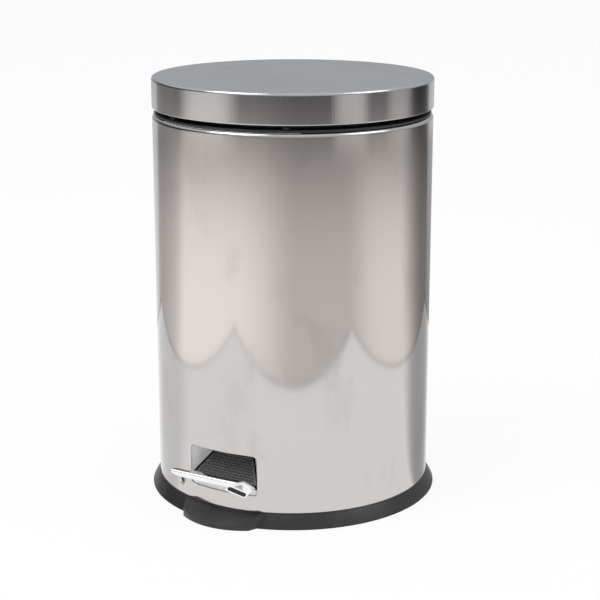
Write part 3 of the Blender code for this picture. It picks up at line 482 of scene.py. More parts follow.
# %% Body
BODY_RADIUS = 0.147
BODY_FOOT_Z = 0.015
BODY_TOP_Z = 0.406
SHEET = 0.0008
SHOULDER = 0.004
SHOULDER_HEM = 0.006
SHOULDER_STEPS = 14
FINE_STEPS = 480
EDGE_GUARD = 0.0006
WALL_RINGS = (0.2, 0.1)
OPENING_HALF_WIDTH = 0.0405
OPENING_TOP_Z = 0.075
OPENING_FOOT_Z = 0.0315
OPENING_CORNER = 0.006
OPENING_FOOT_CORNER = 0.004
OPENING_CORNER_STEPS = 10
OPENING_REAR_Y = -0.1205
CUT_EDGE_REAR_Y = -0.12
CUT_EDGE_SLANT = 0.5
NOTCH_HALF_WIDTH = 0.0125
NOTCH_FOOT_Z = 0.3945
NOTCH_TOP_Z = 0.433
NOTCH_FRONT_Y = 0.1275
NOTCH_REAR_Y = 0.156


def rim_notch(name):
    """The space that the hinge arm needs in the rim."""
    outline = [(-NOTCH_HALF_WIDTH, NOTCH_FRONT_Y), (NOTCH_HALF_WIDTH, NOTCH_FRONT_Y),
               (NOTCH_HALF_WIDTH, NOTCH_REAR_Y), (-NOTCH_HALF_WIDTH, NOTCH_REAR_Y)]
    return prism(name, outline, NOTCH_FOOT_Z, NOTCH_TOP_Z, "Z")


roll_radius = BODY_RADIUS - SHOULDER
roll_z = BODY_TOP_Z - SHOULDER
drum = [(roll_radius - SHOULDER, roll_z - SHOULDER_HEM)]
drum += arc(roll_radius, roll_z, SHOULDER, 180, 0, SHOULDER_STEPS)
drum += [(BODY_RADIUS, height) for height in (roll_z - EDGE_GUARD, *WALL_RINGS, BODY_FOOT_Z)]
drum += [(BODY_RADIUS - SHEET, BODY_FOOT_Z)]
drum += arc(roll_radius, roll_z, SHOULDER - SHEET, 0, 180, SHOULDER_STEPS)
drum += [(roll_radius - SHOULDER + SHEET, roll_z - SHOULDER_HEM)]
body_skin = turned("body_skin", drum, FINE_STEPS)

crown_side = OPENING_HALF_WIDTH - OPENING_CORNER
crown_z = OPENING_TOP_Z - OPENING_CORNER
foot_side = OPENING_HALF_WIDTH - OPENING_FOOT_CORNER
foot_z = OPENING_FOOT_Z + OPENING_FOOT_CORNER
corners = ((crown_side, crown_z, OPENING_CORNER), (-crown_side, crown_z, OPENING_CORNER),
           (-foot_side, foot_z, OPENING_FOOT_CORNER), (foot_side, foot_z, OPENING_FOOT_CORNER))
opening = []
for quarter, (across, up, radius) in enumerate(corners):
    opening += arc(across, up, radius, quarter * 90, quarter * 90 + 90, OPENING_CORNER_STEPS)
cutter = prism("opening_cutter", opening, -BODY_RADIUS - CUT_CLEAR, OPENING_REAR_Y, "Y")
combined(body_skin, cutter, "DIFFERENCE")
combined(body_skin, rim_notch("body_notch"), "DIFFERENCE")
shaded(body_skin)
dress(body_skin, body_steel, "body", "polished_steel", "body_shell")
body_skin.data.materials.append(recess_steel)
for face in body_skin.data.polygons:
    outward = Vector((face.center.x, face.center.y, 0.0)).normalized()
    at_opening = face.center.y < CUT_EDGE_REAR_Y and face.center.z > BODY_FOOT_Z + SHEET
    if at_opening and abs(face.normal.dot(outward)) < CUT_EDGE_SLANT:
        face.material_index = 1

# %% [markdown]
# The lid is a shallow pressing: a flat top, a small round edge, a straight skirt and a thick folded hem.
# Its outline is turned like the body's, then the same notch lets the hinge arm through.

# %% Lid
LID_SKIRT_Z = 0.4135
LID_EDGE = 0.003
LID_HEM = 0.0022
HEM_ROUND = 0.0007
LID_EDGE_STEPS = 12
LID_INNER_STEPS = 8
HEM_STEPS = 5
LID_RINGS = (0.1, 0.05, 0.0)

edge = LID_RADIUS - LID_EDGE
edge_z = LID_TOP_Z - LID_EDGE
hem_top = LID_SKIRT_Z + LID_HEM
pressing = [(0.0, LID_TOP_Z - SHEET), (edge, LID_TOP_Z - SHEET)]
pressing += arc(edge, edge_z, LID_EDGE - SHEET, 90, 0, LID_INNER_STEPS)[1:]
pressing += [(LID_RADIUS - SHEET, hem_top), (LID_RADIUS - LID_HEM, hem_top)]
hem_z = LID_SKIRT_Z + HEM_ROUND
pressing += arc(LID_RADIUS - LID_HEM + HEM_ROUND, hem_z, HEM_ROUND, 180, 270, HEM_STEPS)
pressing += arc(LID_RADIUS - HEM_ROUND, hem_z, HEM_ROUND, 270, 360, HEM_STEPS)
pressing += [(LID_RADIUS, hem_z + EDGE_GUARD), (LID_RADIUS, edge_z - EDGE_GUARD)]
pressing += arc(edge, edge_z, LID_EDGE, 0, 90, LID_EDGE_STEPS)
pressing += [(radius, LID_TOP_Z) for radius in (edge - EDGE_GUARD, *LID_RINGS)]
lid_skin = turned("lid_skin", pressing, FINE_STEPS)
combined(lid_skin, rim_notch("lid_notch"), "DIFFERENCE")
shaded(lid_skin)
dress(lid_skin, lid_finish, "lid", "satin_steel", "lid_cover")

# %% [markdown]
# The pedal is one strip of sheet: a flat stem through the opening, a rise, a gently sloping tread and a lip.
# Its middle line is drawn as points in rows across the strip, and Solidify gives the sheet its thickness.
# The lip grows shorter towards both ends of the strip, so that it runs out in a point, as a pressed one does.

# %% Sheet of the pedal
PEDAL_HALF_WIDTH = 0.039
PEDAL_SHEET = 0.0016
PEDAL_STEM_REAR = 0.118
PEDAL_STEM_Z = 0.0385
PEDAL_BEND_REACH = 0.1396
PEDAL_BEND_ROUND = 0.004
PEDAL_KNEE = (0.1645, 0.0552)
PEDAL_KNEE_ROUND = 0.003
PEDAL_LIP = (0.1792, 0.0589)
PEDAL_LIP_ROUND = 0.0012
PEDAL_LIP_HEIGHT = 0.0055
LIP_END_LENGTH = 0.013
LIP_END_SHARE = 0.28
LIP_END_ROWS = 8
BEND_STEPS = 6
LIP_STEPS = 8


def rounded(first, corner, last, radius, steps):
    """An arc that joins two straight runs at a corner."""
    corner = Vector(corner)
    back = (Vector(first) - corner).normalized()
    ahead = (Vector(last) - corner).normalized()
    half = back.angle(ahead) / 2
    trim = radius / math.tan(half)
    middle = corner + (back + ahead).normalized() * radius / math.sin(half)
    start = corner + back * trim - middle
    end = corner + ahead * trim - middle
    return [tuple(middle + start.lerp(end, step / steps).normalized() * radius) for step in range(steps + 1)]


stem = Vector((PEDAL_STEM_REAR, PEDAL_STEM_Z))
bend = Vector((PEDAL_BEND_REACH, PEDAL_STEM_Z))
knee = Vector(PEDAL_KNEE)
crest = Vector(PEDAL_LIP)


def pedal_row(across):
    """The middle line of the sheet at one distance across, as points in space."""
    past = max(0.0, abs(across) - PEDAL_HALF_WIDTH + LIP_END_LENGTH) / LIP_END_LENGTH
    drop = PEDAL_LIP_HEIGHT * (LIP_END_SHARE + (1.0 - LIP_END_SHARE) * math.sqrt(1.0 - past ** 2))
    lip_foot = crest - Vector((0.0, drop))
    line = [tuple(stem)] + rounded(stem, bend, knee, PEDAL_BEND_ROUND, BEND_STEPS)
    line += rounded(bend, knee, crest, PEDAL_KNEE_ROUND, BEND_STEPS)
    line += rounded(knee, crest, lip_foot, PEDAL_LIP_ROUND, LIP_STEPS) + [tuple(lip_foot)]
    return [(across, -reach, height) for reach, height in line]


end_turns = [math.pi / 2 * step / LIP_END_ROWS for step in range(LIP_END_ROWS + 1)]
right_half = [PEDAL_HALF_WIDTH - LIP_END_LENGTH * (1.0 - math.sin(turn)) for turn in end_turns]
left_half = [-across for across in reversed(right_half)]
work = bmesh.new()
rows = [[work.verts.new(place) for place in pedal_row(across)] for across in left_half + right_half]
for line, following in zip(rows, rows[1:]):
    for index in range(len(line) - 1):
        work.faces.new((line[index], following[index], following[index + 1], line[index + 1]))
pedal_skin = new_piece("pedal_skin", work)
sheet = pedal_skin.modifiers.new("sheet", "SOLIDIFY")
sheet.thickness = PEDAL_SHEET
sheet.offset = 0.0
sheet.use_even_offset = True
made_plain(pedal_skin)
print("pedal's sheet has", len(pedal_skin.data.polygons), "faces")

# %% [markdown]
# Under each side of the pedal hangs a slotted strip with round ends, and behind the opening a curved apron.
# The strips could be separate pieces, but sheet and strips are one pressing, so a Boolean joins them.
# A thin dark sheet fills each slot, set back a little: it is painted shade, which keeps the slot dark from
# every side.
# The apron is a piece of its own, because it is matt, as the recess is.

# %% Flanges and apron of the pedal
FLANGE_SHEET = 0.0014
FLANGE_INSET = 0.0002
FLANGE_DEG = 34.7
FLANGE_DROP = 0.0111
FLANGE_ROUND = 0.0033
FLANGE_REAR = 0.0183
FLANGE_FRONT = 0.0373
FLANGE_STRAIGHT = 0.158
FLANGE_LEAN = 0.5
FLANGE_SLOT_WIDTH = 0.004
FLANGE_ROOT = 0.0044
SLOT_SHADE_SET_BACK = 0.0004
SLOT_SHADE_LAP = 0.0001
APRON_RADIUS = 0.1453
APRON_HALF_TURN = 15.7
APRON_FOOT_Z = 0.03
APRON_SHEET = 0.0008
APRON_GAP = 0.0004
APRON_STEPS = 36
FRONT_DEG = 270.0
ROUND_END_STEPS = 12

hang_turn = math.radians(FLANGE_DEG)
hang = Vector((math.cos(hang_turn), math.sin(hang_turn)))
slot_start = bend + Vector((hang.y, -hang.x)) * FLANGE_DROP
slot_rear = slot_start + hang * FLANGE_REAR
slot_front = slot_start + hang * FLANGE_FRONT


def long_hole(radius):
    """A slot with round ends along the flange, as an outline of the pedal's side."""
    outline = arc(*slot_rear, radius, FLANGE_DEG + 90, FLANGE_DEG + 270, ROUND_END_STEPS)
    outline += arc(*slot_front, radius, FLANGE_DEG - 90, FLANGE_DEG + 90, ROUND_END_STEPS)
    return [(-reach, height) for reach, height in outline]


def leaned(piece, side_of):
    """Leans the front of a strip inward, as the pedal narrows towards its lip."""
    for point in piece.data.vertices:
        point.co.x -= side_of * FLANGE_LEAN * max(0.0, -point.co.y - FLANGE_STRAIGHT)
    return piece


flange = [tuple(crest), tuple(knee), tuple(bend + (knee - bend).normalized() * FLANGE_ROOT)]
flange += arc(*slot_rear, FLANGE_ROUND, FLANGE_DEG + 180, FLANGE_DEG + 270, ROUND_END_STEPS)
flange += arc(*slot_front, FLANGE_ROUND, FLANGE_DEG + 270, FLANGE_DEG + 360, ROUND_END_STEPS)
flange = [(-reach, height) for reach, height in flange]
outer = PEDAL_HALF_WIDTH - FLANGE_INSET
inner = outer - FLANGE_SHEET
for side_of, hand in HANDS:
    low, high = sorted((side_of * outer, side_of * inner))
    strip = prism("flange", flange, low, high, "X")
    slot = prism("slot", long_hole(FLANGE_SLOT_WIDTH / 2), low - CUT_CLEAR, high + CUT_CLEAR, "X")
    combined(strip, slot, "DIFFERENCE")
    combined(pedal_skin, leaned(strip, side_of), "UNION")
    # This dark sheet in black rubber is painted shade for the inside of the pedal, seen through the slot.
    low, high = sorted((side_of * (outer - SLOT_SHADE_SET_BACK), side_of * (inner + SLOT_SHADE_SET_BACK)))
    slot_shade_sheet = prism("painted_slot_shade_" + hand, long_hole(FLANGE_SLOT_WIDTH / 2 + SLOT_SHADE_LAP), low, high, "X")
    dress(softened(leaned(slot_shade_sheet, side_of), FINE_EDGE), black_rubber, "pedal", "black_rubber")
dress(softened(pedal_skin, PLAIN_EDGE), chrome_finish, "pedal", "chrome", "pedal_plate")

left_deg, right_deg = FRONT_DEG - APRON_HALF_TURN, FRONT_DEG + APRON_HALF_TURN
apron = arc(0.0, 0.0, APRON_RADIUS, left_deg, right_deg, APRON_STEPS)
apron += arc(0.0, 0.0, APRON_RADIUS - APRON_SHEET, right_deg, left_deg, APRON_STEPS)
pedal_apron = prism("pedal_apron", apron, APRON_FOOT_Z, PEDAL_STEM_Z - APRON_GAP, "Z")
dress(softened(pedal_apron, FINE_EDGE), recess_steel, "pedal", "chrome")

# %% [markdown]
# The other solids have the right shape, but they come as loose flat triangles.
# Each gets a copy whose points are merged, whose flat areas are joined, and whose edges are rounded a little.
# One loop treats the small moulded and bent pieces alike, and the solids themselves stay untouched.
# The tongue of the base ring is cut to a slope on the way, so that it runs down to the floor in front.

# %% Moulded, bent and drawn pieces
MERGE = 0.000004
FLAT_ANGLE = math.radians(0.4)
EDGE_ROUND = {"base_ring": 0.0012, "hinge_housing": 0.0012, "lid_hinge_arm": 0.0008, "toe_ramp": 0.0005,
              "top_collar": 0.0006, "inner_bucket": 0.0006}
TONGUE_SLOPE = 0.4737
TONGUE_ROOT = (-0.1472, 0.0143)
TONGUE_CLEAR = 0.038
TONGUE_CUT_HALF_WIDTH = 0.076
remade = ("body_shell", "lid_cover", "pedal_plate")
own_finish = {"recess_surround": recess_steel, "toe_ramp": ramp_rubber}


def copied(node):
    """A merged copy of a solid, ready for rounding."""
    work = bmesh.new()
    work.from_mesh(nodes[node].data)
    bmesh.ops.remove_doubles(work, verts=work.verts, dist=MERGE)
    bmesh.ops.dissolve_limit(work, angle_limit=FLAT_ANGLE, verts=work.verts, edges=work.edges)
    return new_piece(node + "_finish", work)


def tongue_wedge():
    """What is taken off the front of the base ring, so that its tongue slopes down to the floor."""
    root, root_z = TONGUE_ROOT
    tip = root - TONGUE_CLEAR
    tip_z = root_z - TONGUE_SLOPE * TONGUE_CLEAR
    outline = [(root, root_z), (tip, tip_z), (tip, TONGUE_CLEAR), (root, TONGUE_CLEAR)]
    return prism("tongue_wedge", outline, -TONGUE_CUT_HALF_WIDTH, TONGUE_CUT_HALF_WIDTH, "X")


for node in sorted(nodes):
    if node not in remade:
        piece = copied(node)
        if node == "base_ring":
            combined(piece, tongue_wedge(), "DIFFERENCE")
        softened(piece, EDGE_ROUND.get(node, PLAIN_EDGE))
        finish = own_finish.get(node, finishes[slot_of[node]])
        dress(piece, finish, body_of[node], slot_of[node], node)

# %% [markdown]
# The ramp behind the pedal has a field of small raised dots, so that a wet shoe doesn't slip.
# Placing them by hand would be slow, and a bump would vanish from the side, so Geometry Nodes set them out.
# A grid gives the places, a test keeps those inside the tapering plate, and each place gets one small dome.

# %% Dots on the ramp
RAMP_FOOT = (0.0, -0.13924, 0.0421)
RAMP_RISE = 0.0222
RAMP_RUN = 0.01874
RAMP_SLOPE = math.atan2(RAMP_RISE, RAMP_RUN)
RAMP_LENGTH = 0.0285
RAMP_FOOT_HALF_WIDTH = 0.0385
RAMP_TOP_HALF_WIDTH = 0.025
DOT_PITCH = 0.003
DOT_RADIUS = 0.001
DOT_HEIGHT = 0.0008
DOT_MARGIN = 0.0035
DOT_SEGMENTS = 10
DOT_RINGS = 6


def new_tree(name, inputs):
    """An empty Geometry Nodes tree, and its named inputs."""
    tree = bpy.data.node_groups.new(name, "GeometryNodeTree")
    for label, kind in inputs:
        tree.interface.new_socket(label, in_out="INPUT", socket_type=kind)
    tree.interface.new_socket("Geometry", in_out="OUTPUT", socket_type="NodeSocketGeometry")
    entry = tree.nodes.new("NodeGroupInput")
    return tree, {socket.name: Flow(socket) for socket in entry.outputs if socket.name}


def close_tree(tree, geometry, material):
    """Realizes what a tree made, gives it the material and ends the tree."""
    real = geometry.node("GeometryNodeRealizeInstances", None, {0: geometry})
    smooth = real.node("GeometryNodeSetShadeSmooth", None, {"Geometry": real})
    painted = smooth.node("GeometryNodeSetMaterial", None, {"Geometry": smooth, "Material": material})
    tree.links.new(painted.socket, tree.nodes.new("NodeGroupOutput").inputs[0])


def grown(name, tree, values):
    """An object made plain from a tree, with the tree's inputs set by their identifiers."""
    piece = new_piece(name, bmesh.new())
    modifier = piece.modifiers.new("grow", "NODES")
    modifier.node_group = tree
    for item in tree.interface.items_tree:
        if item.in_out == "INPUT" and item.name in values:
            modifier[item.identifier] = values[item.name]
    return made_plain(piece)


dot_tree, dot_in = new_tree("dot_field", [("Foot Width", "NodeSocketFloat"), ("Top Width", "NodeSocketFloat"),
                                          ("Length", "NodeSocketFloat"), ("Pitch", "NodeSocketFloat"),
                                          ("Margin", "NodeSocketFloat"), ("Radius", "NodeSocketFloat"),
                                          ("Height", "NodeSocketFloat"), ("Place", "NodeSocketVector"),
                                          ("Turn", "NodeSocketVector"), ("Material", "NodeSocketMaterial")])
pitch = dot_in["Pitch"]
across_count = pitch.maths("FLOOR", dot_in["Foot Width"] / pitch, 0.0)
along_count = pitch.maths("FLOOR", dot_in["Length"] / pitch, 0.0)
grid = pitch.node("GeometryNodeMeshGrid", None,
                  {"Size X": across_count * pitch, "Size Y": along_count * pitch,
                   "Vertices X": across_count + 1.0, "Vertices Y": along_count + 1.0})
spot = pitch.node("GeometryNodeInputPosition")
up_plate = spot.axis(1) / dot_in["Length"] + 0.5
half_here = (dot_in["Foot Width"] + up_plate * (dot_in["Top Width"] - dot_in["Foot Width"])) * 0.5
room_across = half_here - dot_in["Margin"] - pitch.maths("ABSOLUTE", spot.axis(0), 0.0)
room_along = dot_in["Length"] * 0.5 - dot_in["Margin"] - pitch.maths("ABSOLUTE", spot.axis(1), 0.0)
keep = pitch.maths("GREATER_THAN", pitch.maths("MINIMUM", room_across, room_along), 0.0)
dome = pitch.node("GeometryNodeMeshUVSphere", None,
                  {"Segments": DOT_SEGMENTS, "Rings": DOT_RINGS, "Radius": 1.0})
dot_size = pitch.node("ShaderNodeCombineXYZ", None,
                      {0: dot_in["Radius"], 1: dot_in["Radius"], 2: dot_in["Height"]})
dots = grid.node("GeometryNodeInstanceOnPoints", None,
                 {"Points": grid, "Selection": keep, "Instance": dome, "Scale": dot_size})
laid = dots.node("GeometryNodeTransform", None,
                 {"Geometry": dots, "Translation": dot_in["Place"], "Rotation": dot_in["Turn"]})
close_tree(dot_tree, laid, dot_in["Material"])

ramp_middle = (0.0, RAMP_FOOT[1] + math.cos(RAMP_SLOPE) * RAMP_LENGTH / 2,
               RAMP_FOOT[2] + math.sin(RAMP_SLOPE) * RAMP_LENGTH / 2)
# The dots take the black rubber, far darker than the ramp round them: painted shade for the small dots.
ramp_dots = grown("ramp_dots", dot_tree, {
    "Foot Width": 2 * RAMP_FOOT_HALF_WIDTH, "Top Width": 2 * RAMP_TOP_HALF_WIDTH, "Length": RAMP_LENGTH,
    "Pitch": DOT_PITCH, "Margin": DOT_MARGIN, "Radius": DOT_RADIUS, "Height": DOT_HEIGHT,
    "Place": ramp_middle, "Turn": (RAMP_SLOPE, 0.0, 0.0), "Material": black_rubber})
dress(ramp_dots, black_rubber, "body", "black_rubber")

# %% [markdown]
# Screws hold the hinge housing and the brackets of the pedal, and rivets hold the guides of the push rod.
# They could be modelled one by one, but each is the same domed head in another place, some with a cross.
# One tree makes the head, cuts the cross with two bars, and puts a head on every point of a straight row.
# The bars go to different depths, because two cuts with one floor can leave stray edges.

# %% Heads of screws and rivets
HEAD_RADIUS = 0.0026
HEAD_HEIGHT = 0.0011
CROSS_LENGTH = 1.3
CROSS_WIDTH = 0.3
CROSS_DEPTHS = (1.0, 0.92)
HEAD_SEGMENTS = 20
HEAD_RINGS = 10

head_tree, head_in = new_tree("screw_row", [("Count", "NodeSocketInt"), ("First", "NodeSocketVector"),
                                            ("Step", "NodeSocketVector"), ("Turn", "NodeSocketVector"),
                                            ("Radius", "NodeSocketFloat"), ("Height", "NodeSocketFloat"),
                                            ("Cross", "NodeSocketBool"), ("Material", "NodeSocketMaterial")])
spots = head_in["First"].node("GeometryNodeMeshLine", {"mode": "OFFSET"},
                              {"Count": head_in["Count"], "Start Location": head_in["First"],
                               "Offset": head_in["Step"]})
plain_head = spots.node("GeometryNodeMeshUVSphere", None,
                        {"Segments": HEAD_SEGMENTS, "Rings": HEAD_RINGS, "Radius": 1.0})
crossed_head = plain_head
bars = ((CROSS_LENGTH, CROSS_WIDTH, CROSS_DEPTHS[0]), (CROSS_WIDTH, CROSS_LENGTH, CROSS_DEPTHS[1]))
for bar_size in bars:
    bar = spots.node("GeometryNodeMeshCube", None, {"Size": bar_size})
    raised = spots.node("GeometryNodeTransform", None, {"Geometry": bar, "Translation": (0.0, 0.0, 1.0)})
    crossed_head = spots.node("GeometryNodeMeshBoolean", {"operation": "DIFFERENCE"},
                              {"Mesh 1": crossed_head, "Mesh 2": raised})
head = spots.node("GeometryNodeSwitch", {"input_type": "GEOMETRY"},
                  {"Switch": head_in["Cross"], "False": plain_head, "True": crossed_head})
head_size = spots.node("ShaderNodeCombineXYZ", None,
                       {0: head_in["Radius"], 1: head_in["Radius"], 2: head_in["Height"]})
heads = spots.node("GeometryNodeInstanceOnPoints", None,
                   {"Points": spots, "Instance": head, "Rotation": head_in["Turn"], "Scale": head_size})
close_tree(head_tree, heads, head_in["Material"])
print("heads follow", head_tree.name)

# %% [markdown]
# On the back, two screws hold the housing and two rivets each guide. Below, two screws hold each bracket, and
# two more show under the base plate. A row needs only its first head, the step to the next and its direction.
# The heights and depths come from the solids that the heads sit on, so that no head hangs in the air.

# %% Rows of screws and rivets
HEADS_IN_ROW = 2
HOUSING_SCREW_X = 0.019
HOUSING_SCREW_Z = 0.4
RIVET_X = 0.0065
LOWER_RIVET_Z = 0.124
UPPER_RIVET_Z = 0.344
BRACKET_SCREW_X = 0.02
BRACKET_SCREW_GAP = 0.009
BRACKET_SCREW_INSET = 0.0035
BRACKET_FLANGE = 0.002
BACK = (-math.pi / 2, 0.0, 0.0)
UP = (0.0, 0.0, 0.0)
DOWN = (math.pi, 0.0, 0.0)

housing_back_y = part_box("hinge_housing")[1][1]
back_wall_y = math.sqrt(BODY_RADIUS ** 2 - RIVET_X ** 2)
plate_foot_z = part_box("base_plate")[0][2]
back_rows = (("housing_screws", HOUSING_SCREW_X, housing_back_y, HOUSING_SCREW_Z, True),
             ("lower_guide_rivets", RIVET_X, back_wall_y, LOWER_RIVET_Z, False),
             ("upper_guide_rivets", RIVET_X, back_wall_y, UPPER_RIVET_Z, False))
rows_of_heads = {}
for name, half_gap, y, z, cross in back_rows:
    rows_of_heads[name] = ((-half_gap, y, z), (2 * half_gap, 0.0, 0.0), BACK, cross)
for side_of, hand in HANDS:
    x = side_of * BRACKET_SCREW_X
    bracket_front_y, bracket_foot_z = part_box("pivot_bracket_" + hand)[0][1:]
    y = bracket_front_y + BRACKET_SCREW_INSET
    foot_rows = (("bracket_screws_", bracket_foot_z + BRACKET_FLANGE, UP),
                 ("plate_screws_", plate_foot_z, DOWN))
    for name, z, turn in foot_rows:
        rows_of_heads[name + hand] = ((x, y, z), (0.0, BRACKET_SCREW_GAP, 0.0), turn, True)
for name, (first, step, turn, cross) in rows_of_heads.items():
    made = grown(name, head_tree, {"Count": HEADS_IN_ROW, "First": first, "Step": step, "Turn": turn,
                                   "Radius": HEAD_RADIUS, "Height": HEAD_HEIGHT, "Cross": cross,
                                   "Material": drawn_finish})
    dress(made, drawn_finish, "body", "satin_steel")

# %% [markdown]
# A thin brown sealing bead shows between the body's lower edge and the base ring.
# It is turned like the body: a small round outline carried once round the axis.

# %% Sealing bead
BEAD_RADIUS = 0.0005
BEAD_OUT = 0.0001
BEAD_SIDES = 10
BEAD_STEPS = 240
last_side = BEAD_SIDES - 1
bead = arc(BODY_RADIUS + BEAD_OUT, BODY_FOOT_Z, BEAD_RADIUS, 0, 360 * last_side / BEAD_SIDES, last_side)
seal_bead = turned("seal_bead", bead, BEAD_STEPS)
seal_bead.data.shade_smooth()
dress(seal_bead, seal_rubber, "body", "black_rubber")

# %% [markdown]
# The bin stands on a pale floor in soft light. A mirror needs something to mirror, so a studio is round it.
# White paper lies under the bin, and beyond its edge the floor of the room is warmer and fades to dark.
# The studio shell is seen only in reflections, as the cards round a product table are.
# Directions are counted in degrees from the camera's side to its right, so 180 is behind the bin.

# %% Floor and studio
FLOOR_SIZE = 12.0
PAPER_HALF_WIDTH = 0.6
ROOM_SIZE = 7.0
FLOOR_WHITE = (0.93, 0.93, 0.93, 1.0)
FLOOR_SPECK = (0.91, 0.91, 0.91, 1.0)
FLOOR_PURITY = 0.86
WHITE = (1.0, 1.0, 1.0, 1.0)
FIBRE_SCALE = (90.0, 90.0, 90.0)
RIGHT_SHADE = (67.5, 35.0, 0.63)
LEFT_SHADE = (-64.0, 38.0, 0.24)
ROOM_FLOOR_Z = 0.001
DOME_SEGMENTS = 48
DOME_RINGS = 24
DOME_FOOT_Z = -0.01


def flat_quads(name, quads, height, turn):
    """Flat four-sided faces at one height, turned round the upright axis."""
    work = bmesh.new()
    for quad in quads:
        work.faces.new([work.verts.new((across, along, height)) for across, along in quad])
    bmesh.ops.remove_doubles(work, verts=work.verts, dist=MERGE)
    work.transform(Matrix.Rotation(turn, 4, "Z"))
    return new_piece(name, work)


def square(half):
    """The corners of a square round the origin."""
    return [(-half, -half), (half, -half), (half, half), (-half, half)]


def toward(bearing_deg):
    """A flat direction, counted from the camera's side to its right."""
    bearing = CAMERA_AZIMUTH + math.radians(bearing_deg)
    return Vector((math.sin(bearing), -math.cos(bearing), 0.0))


def lobe(flat, bearing_deg, width_deg, full_deg=0.0):
    """A soft patch round one direction, full within the second angle."""
    ahead = {0: flat, 1: toward(bearing_deg)}
    aligned = flat.node("ShaderNodeVectorMath", {"operation": "DOT_PRODUCT"}, ahead, 1)
    return aligned.between(math.cos(math.radians(width_deg)), math.cos(math.radians(full_deg)))


def flattened(place):
    """A place without its height."""
    return place.node("ShaderNodeVectorMath", {"operation": "MULTIPLY"}, {0: place, 1: (1.0, 1.0, 0.0)})


def direction(flat):
    """A flat vector made one metre long."""
    return flat.node("ShaderNodeVectorMath", {"operation": "NORMALIZE"}, {0: flat})


def side_shade(place, body_deg, width_deg, depth):
    """The part of the floor that the body mirrors at one turn round its wall, from the foot to the top."""
    flat = flattened(place)
    wall = toward(body_deg) * BODY_RADIUS
    apart = flat.node("ShaderNodeVectorMath", {"operation": "SUBTRACT"}, {0: flat, 1: wall})
    return lobe(direction(apart), 2.0 * body_deg, width_deg) * depth


def watched_rays(tree):
    """1 where a surface is seen or mirrored, 0 where it only lights, and the outputs of the light path."""
    rays = tree.nodes.new("ShaderNodeLightPath").outputs
    return Flow(rays["Is Camera Ray"]) + Flow(rays["Is Glossy Ray"]) + Flow(rays["Is Transmission Ray"]), rays


floor = flat_quads("floor", [square(FLOOR_SIZE)], 0.0, 0.0)
floor_paper, floor_shader, floor_place = open_finish("floor_paper")
fibres = floor_place.noise(FIBRE_SCALE, 4.0)
feed(floor_shader, {"Base Color": fibres.mix(FLOOR_WHITE, FLOOR_SPECK), "Roughness": 0.9,
                    "Specular IOR Level": 0.1})
floor_tree = floor_paper.node_tree
watched, rays = watched_rays(floor_tree)
shade = side_shade(floor_place, *RIGHT_SHADE) + side_shade(floor_place, *LEFT_SHADE)
mirrored_white = 1.0 - Flow(rays["Is Glossy Ray"]) * shade
pure = watched.node("ShaderNodeEmission", None, {"Color": WHITE, "Strength": mirrored_white})
paper = watched.node("ShaderNodeMixShader", None,
                     {0: watched * FLOOR_PURITY, 1: Flow(floor_shader.outputs[0]), 2: pure})
floor_tree.links.new(paper.socket, floor_tree.nodes["Material Output"].inputs["Surface"])
floor.data.materials.append(floor_paper)

near, far = square(PAPER_HALF_WIDTH), square(ROOM_SIZE)
around = [(far[side], far[(side + 1) % 4], near[(side + 1) % 4], near[side]) for side in range(4)]
room_floor = flat_quads("room_floor", around, ROOM_FLOOR_Z, CAMERA_AZIMUTH)
work = bmesh.new()
bmesh.ops.create_uvsphere(work, u_segments=DOME_SEGMENTS, v_segments=DOME_RINGS, radius=ROOM_SIZE)
bmesh.ops.delete(work, geom=[vert for vert in work.verts if vert.co.z < DOME_FOOT_Z], context="VERTS")
work.transform(Matrix.Rotation(CAMERA_AZIMUTH, 4, "Z"))
room_dome = new_piece("room_dome", work)
print("stage made")

# %% [markdown]
# The studio's brightness is worked out from the place on its floor. Near the paper it is bright and warm, and
# further out it fades, with soft glows and far windows to the sides, two dim patches and a cool backdrop.
# Each glow is the cosine between a place's direction and the glow's own direction, with a smooth step.
# Its row gives its direction, its width and its strength.

# %% Light of the studio
WARM = (1.0, 0.945, 0.91, 1.0)
COOL = (0.95, 0.975, 1.0, 1.0)
PAPER_EDGE = 0.035
PAPER_EDGE_SHADE = 0.45
FADE_REACH = (0.9, 3.6)
FADE_DEPTH = 0.86
FAR_REACH = (2.2, 3.0)
SIDE_LEVEL = 0.72
SIDE_GLOWS = ((-70.0, 75.0, 0.5), (85.0, 45.0, 0.3))
DIM_PATCHES = ((138.0, 46.0, 0.66), (-121.0, 28.0, 0.34))
FAR_WINDOWS = ((-72.0, 32.0, 0.6), (46.0, 18.0, 0.5), (94.0, 18.0, 0.3), (150.0, 18.0, 0.16),
               (-128.0, 34.0, 0.14))
BEHIND_DEG = 180.0
REAR_WIDTH = 60.0
REAR_STRENGTH = 0.16
BACKDROP_WIDTHS = (42.0, 36.0)
BACKDROP_REACH = (0.9, 2.6)
BACKDROP_STRENGTHS = (0.12, 0.17)
DOME_STRENGTHS = (0.45, 0.3)
DOME_RISE = (0.0, 0.9)
LOW_LEFT = (-109.0, 55.0, 0.9)
LOW_LEFT_RISE = (0.25, 0.5)


def patches(flat, table):
    """The sum of several soft patches."""
    total = 0.0
    for bearing_deg, width_deg, strength in table:
        total = total + lobe(flat, bearing_deg, width_deg) * strength
    return total


def glow(name, colour_and_strength):
    """A material that only gives off light."""
    material = bpy.data.materials.new(name)
    material.use_nodes = True
    tree = material.node_tree
    tree.nodes.remove(tree.nodes["Principled BSDF"])
    place = Flow(tree.nodes.new("ShaderNodeTexCoord").outputs["Object"])
    colour, strength = colour_and_strength(place)
    light = place.node("ShaderNodeEmission", None, {"Color": colour, "Strength": strength})
    tree.links.new(light.socket, tree.nodes["Material Output"].inputs["Surface"])
    return material


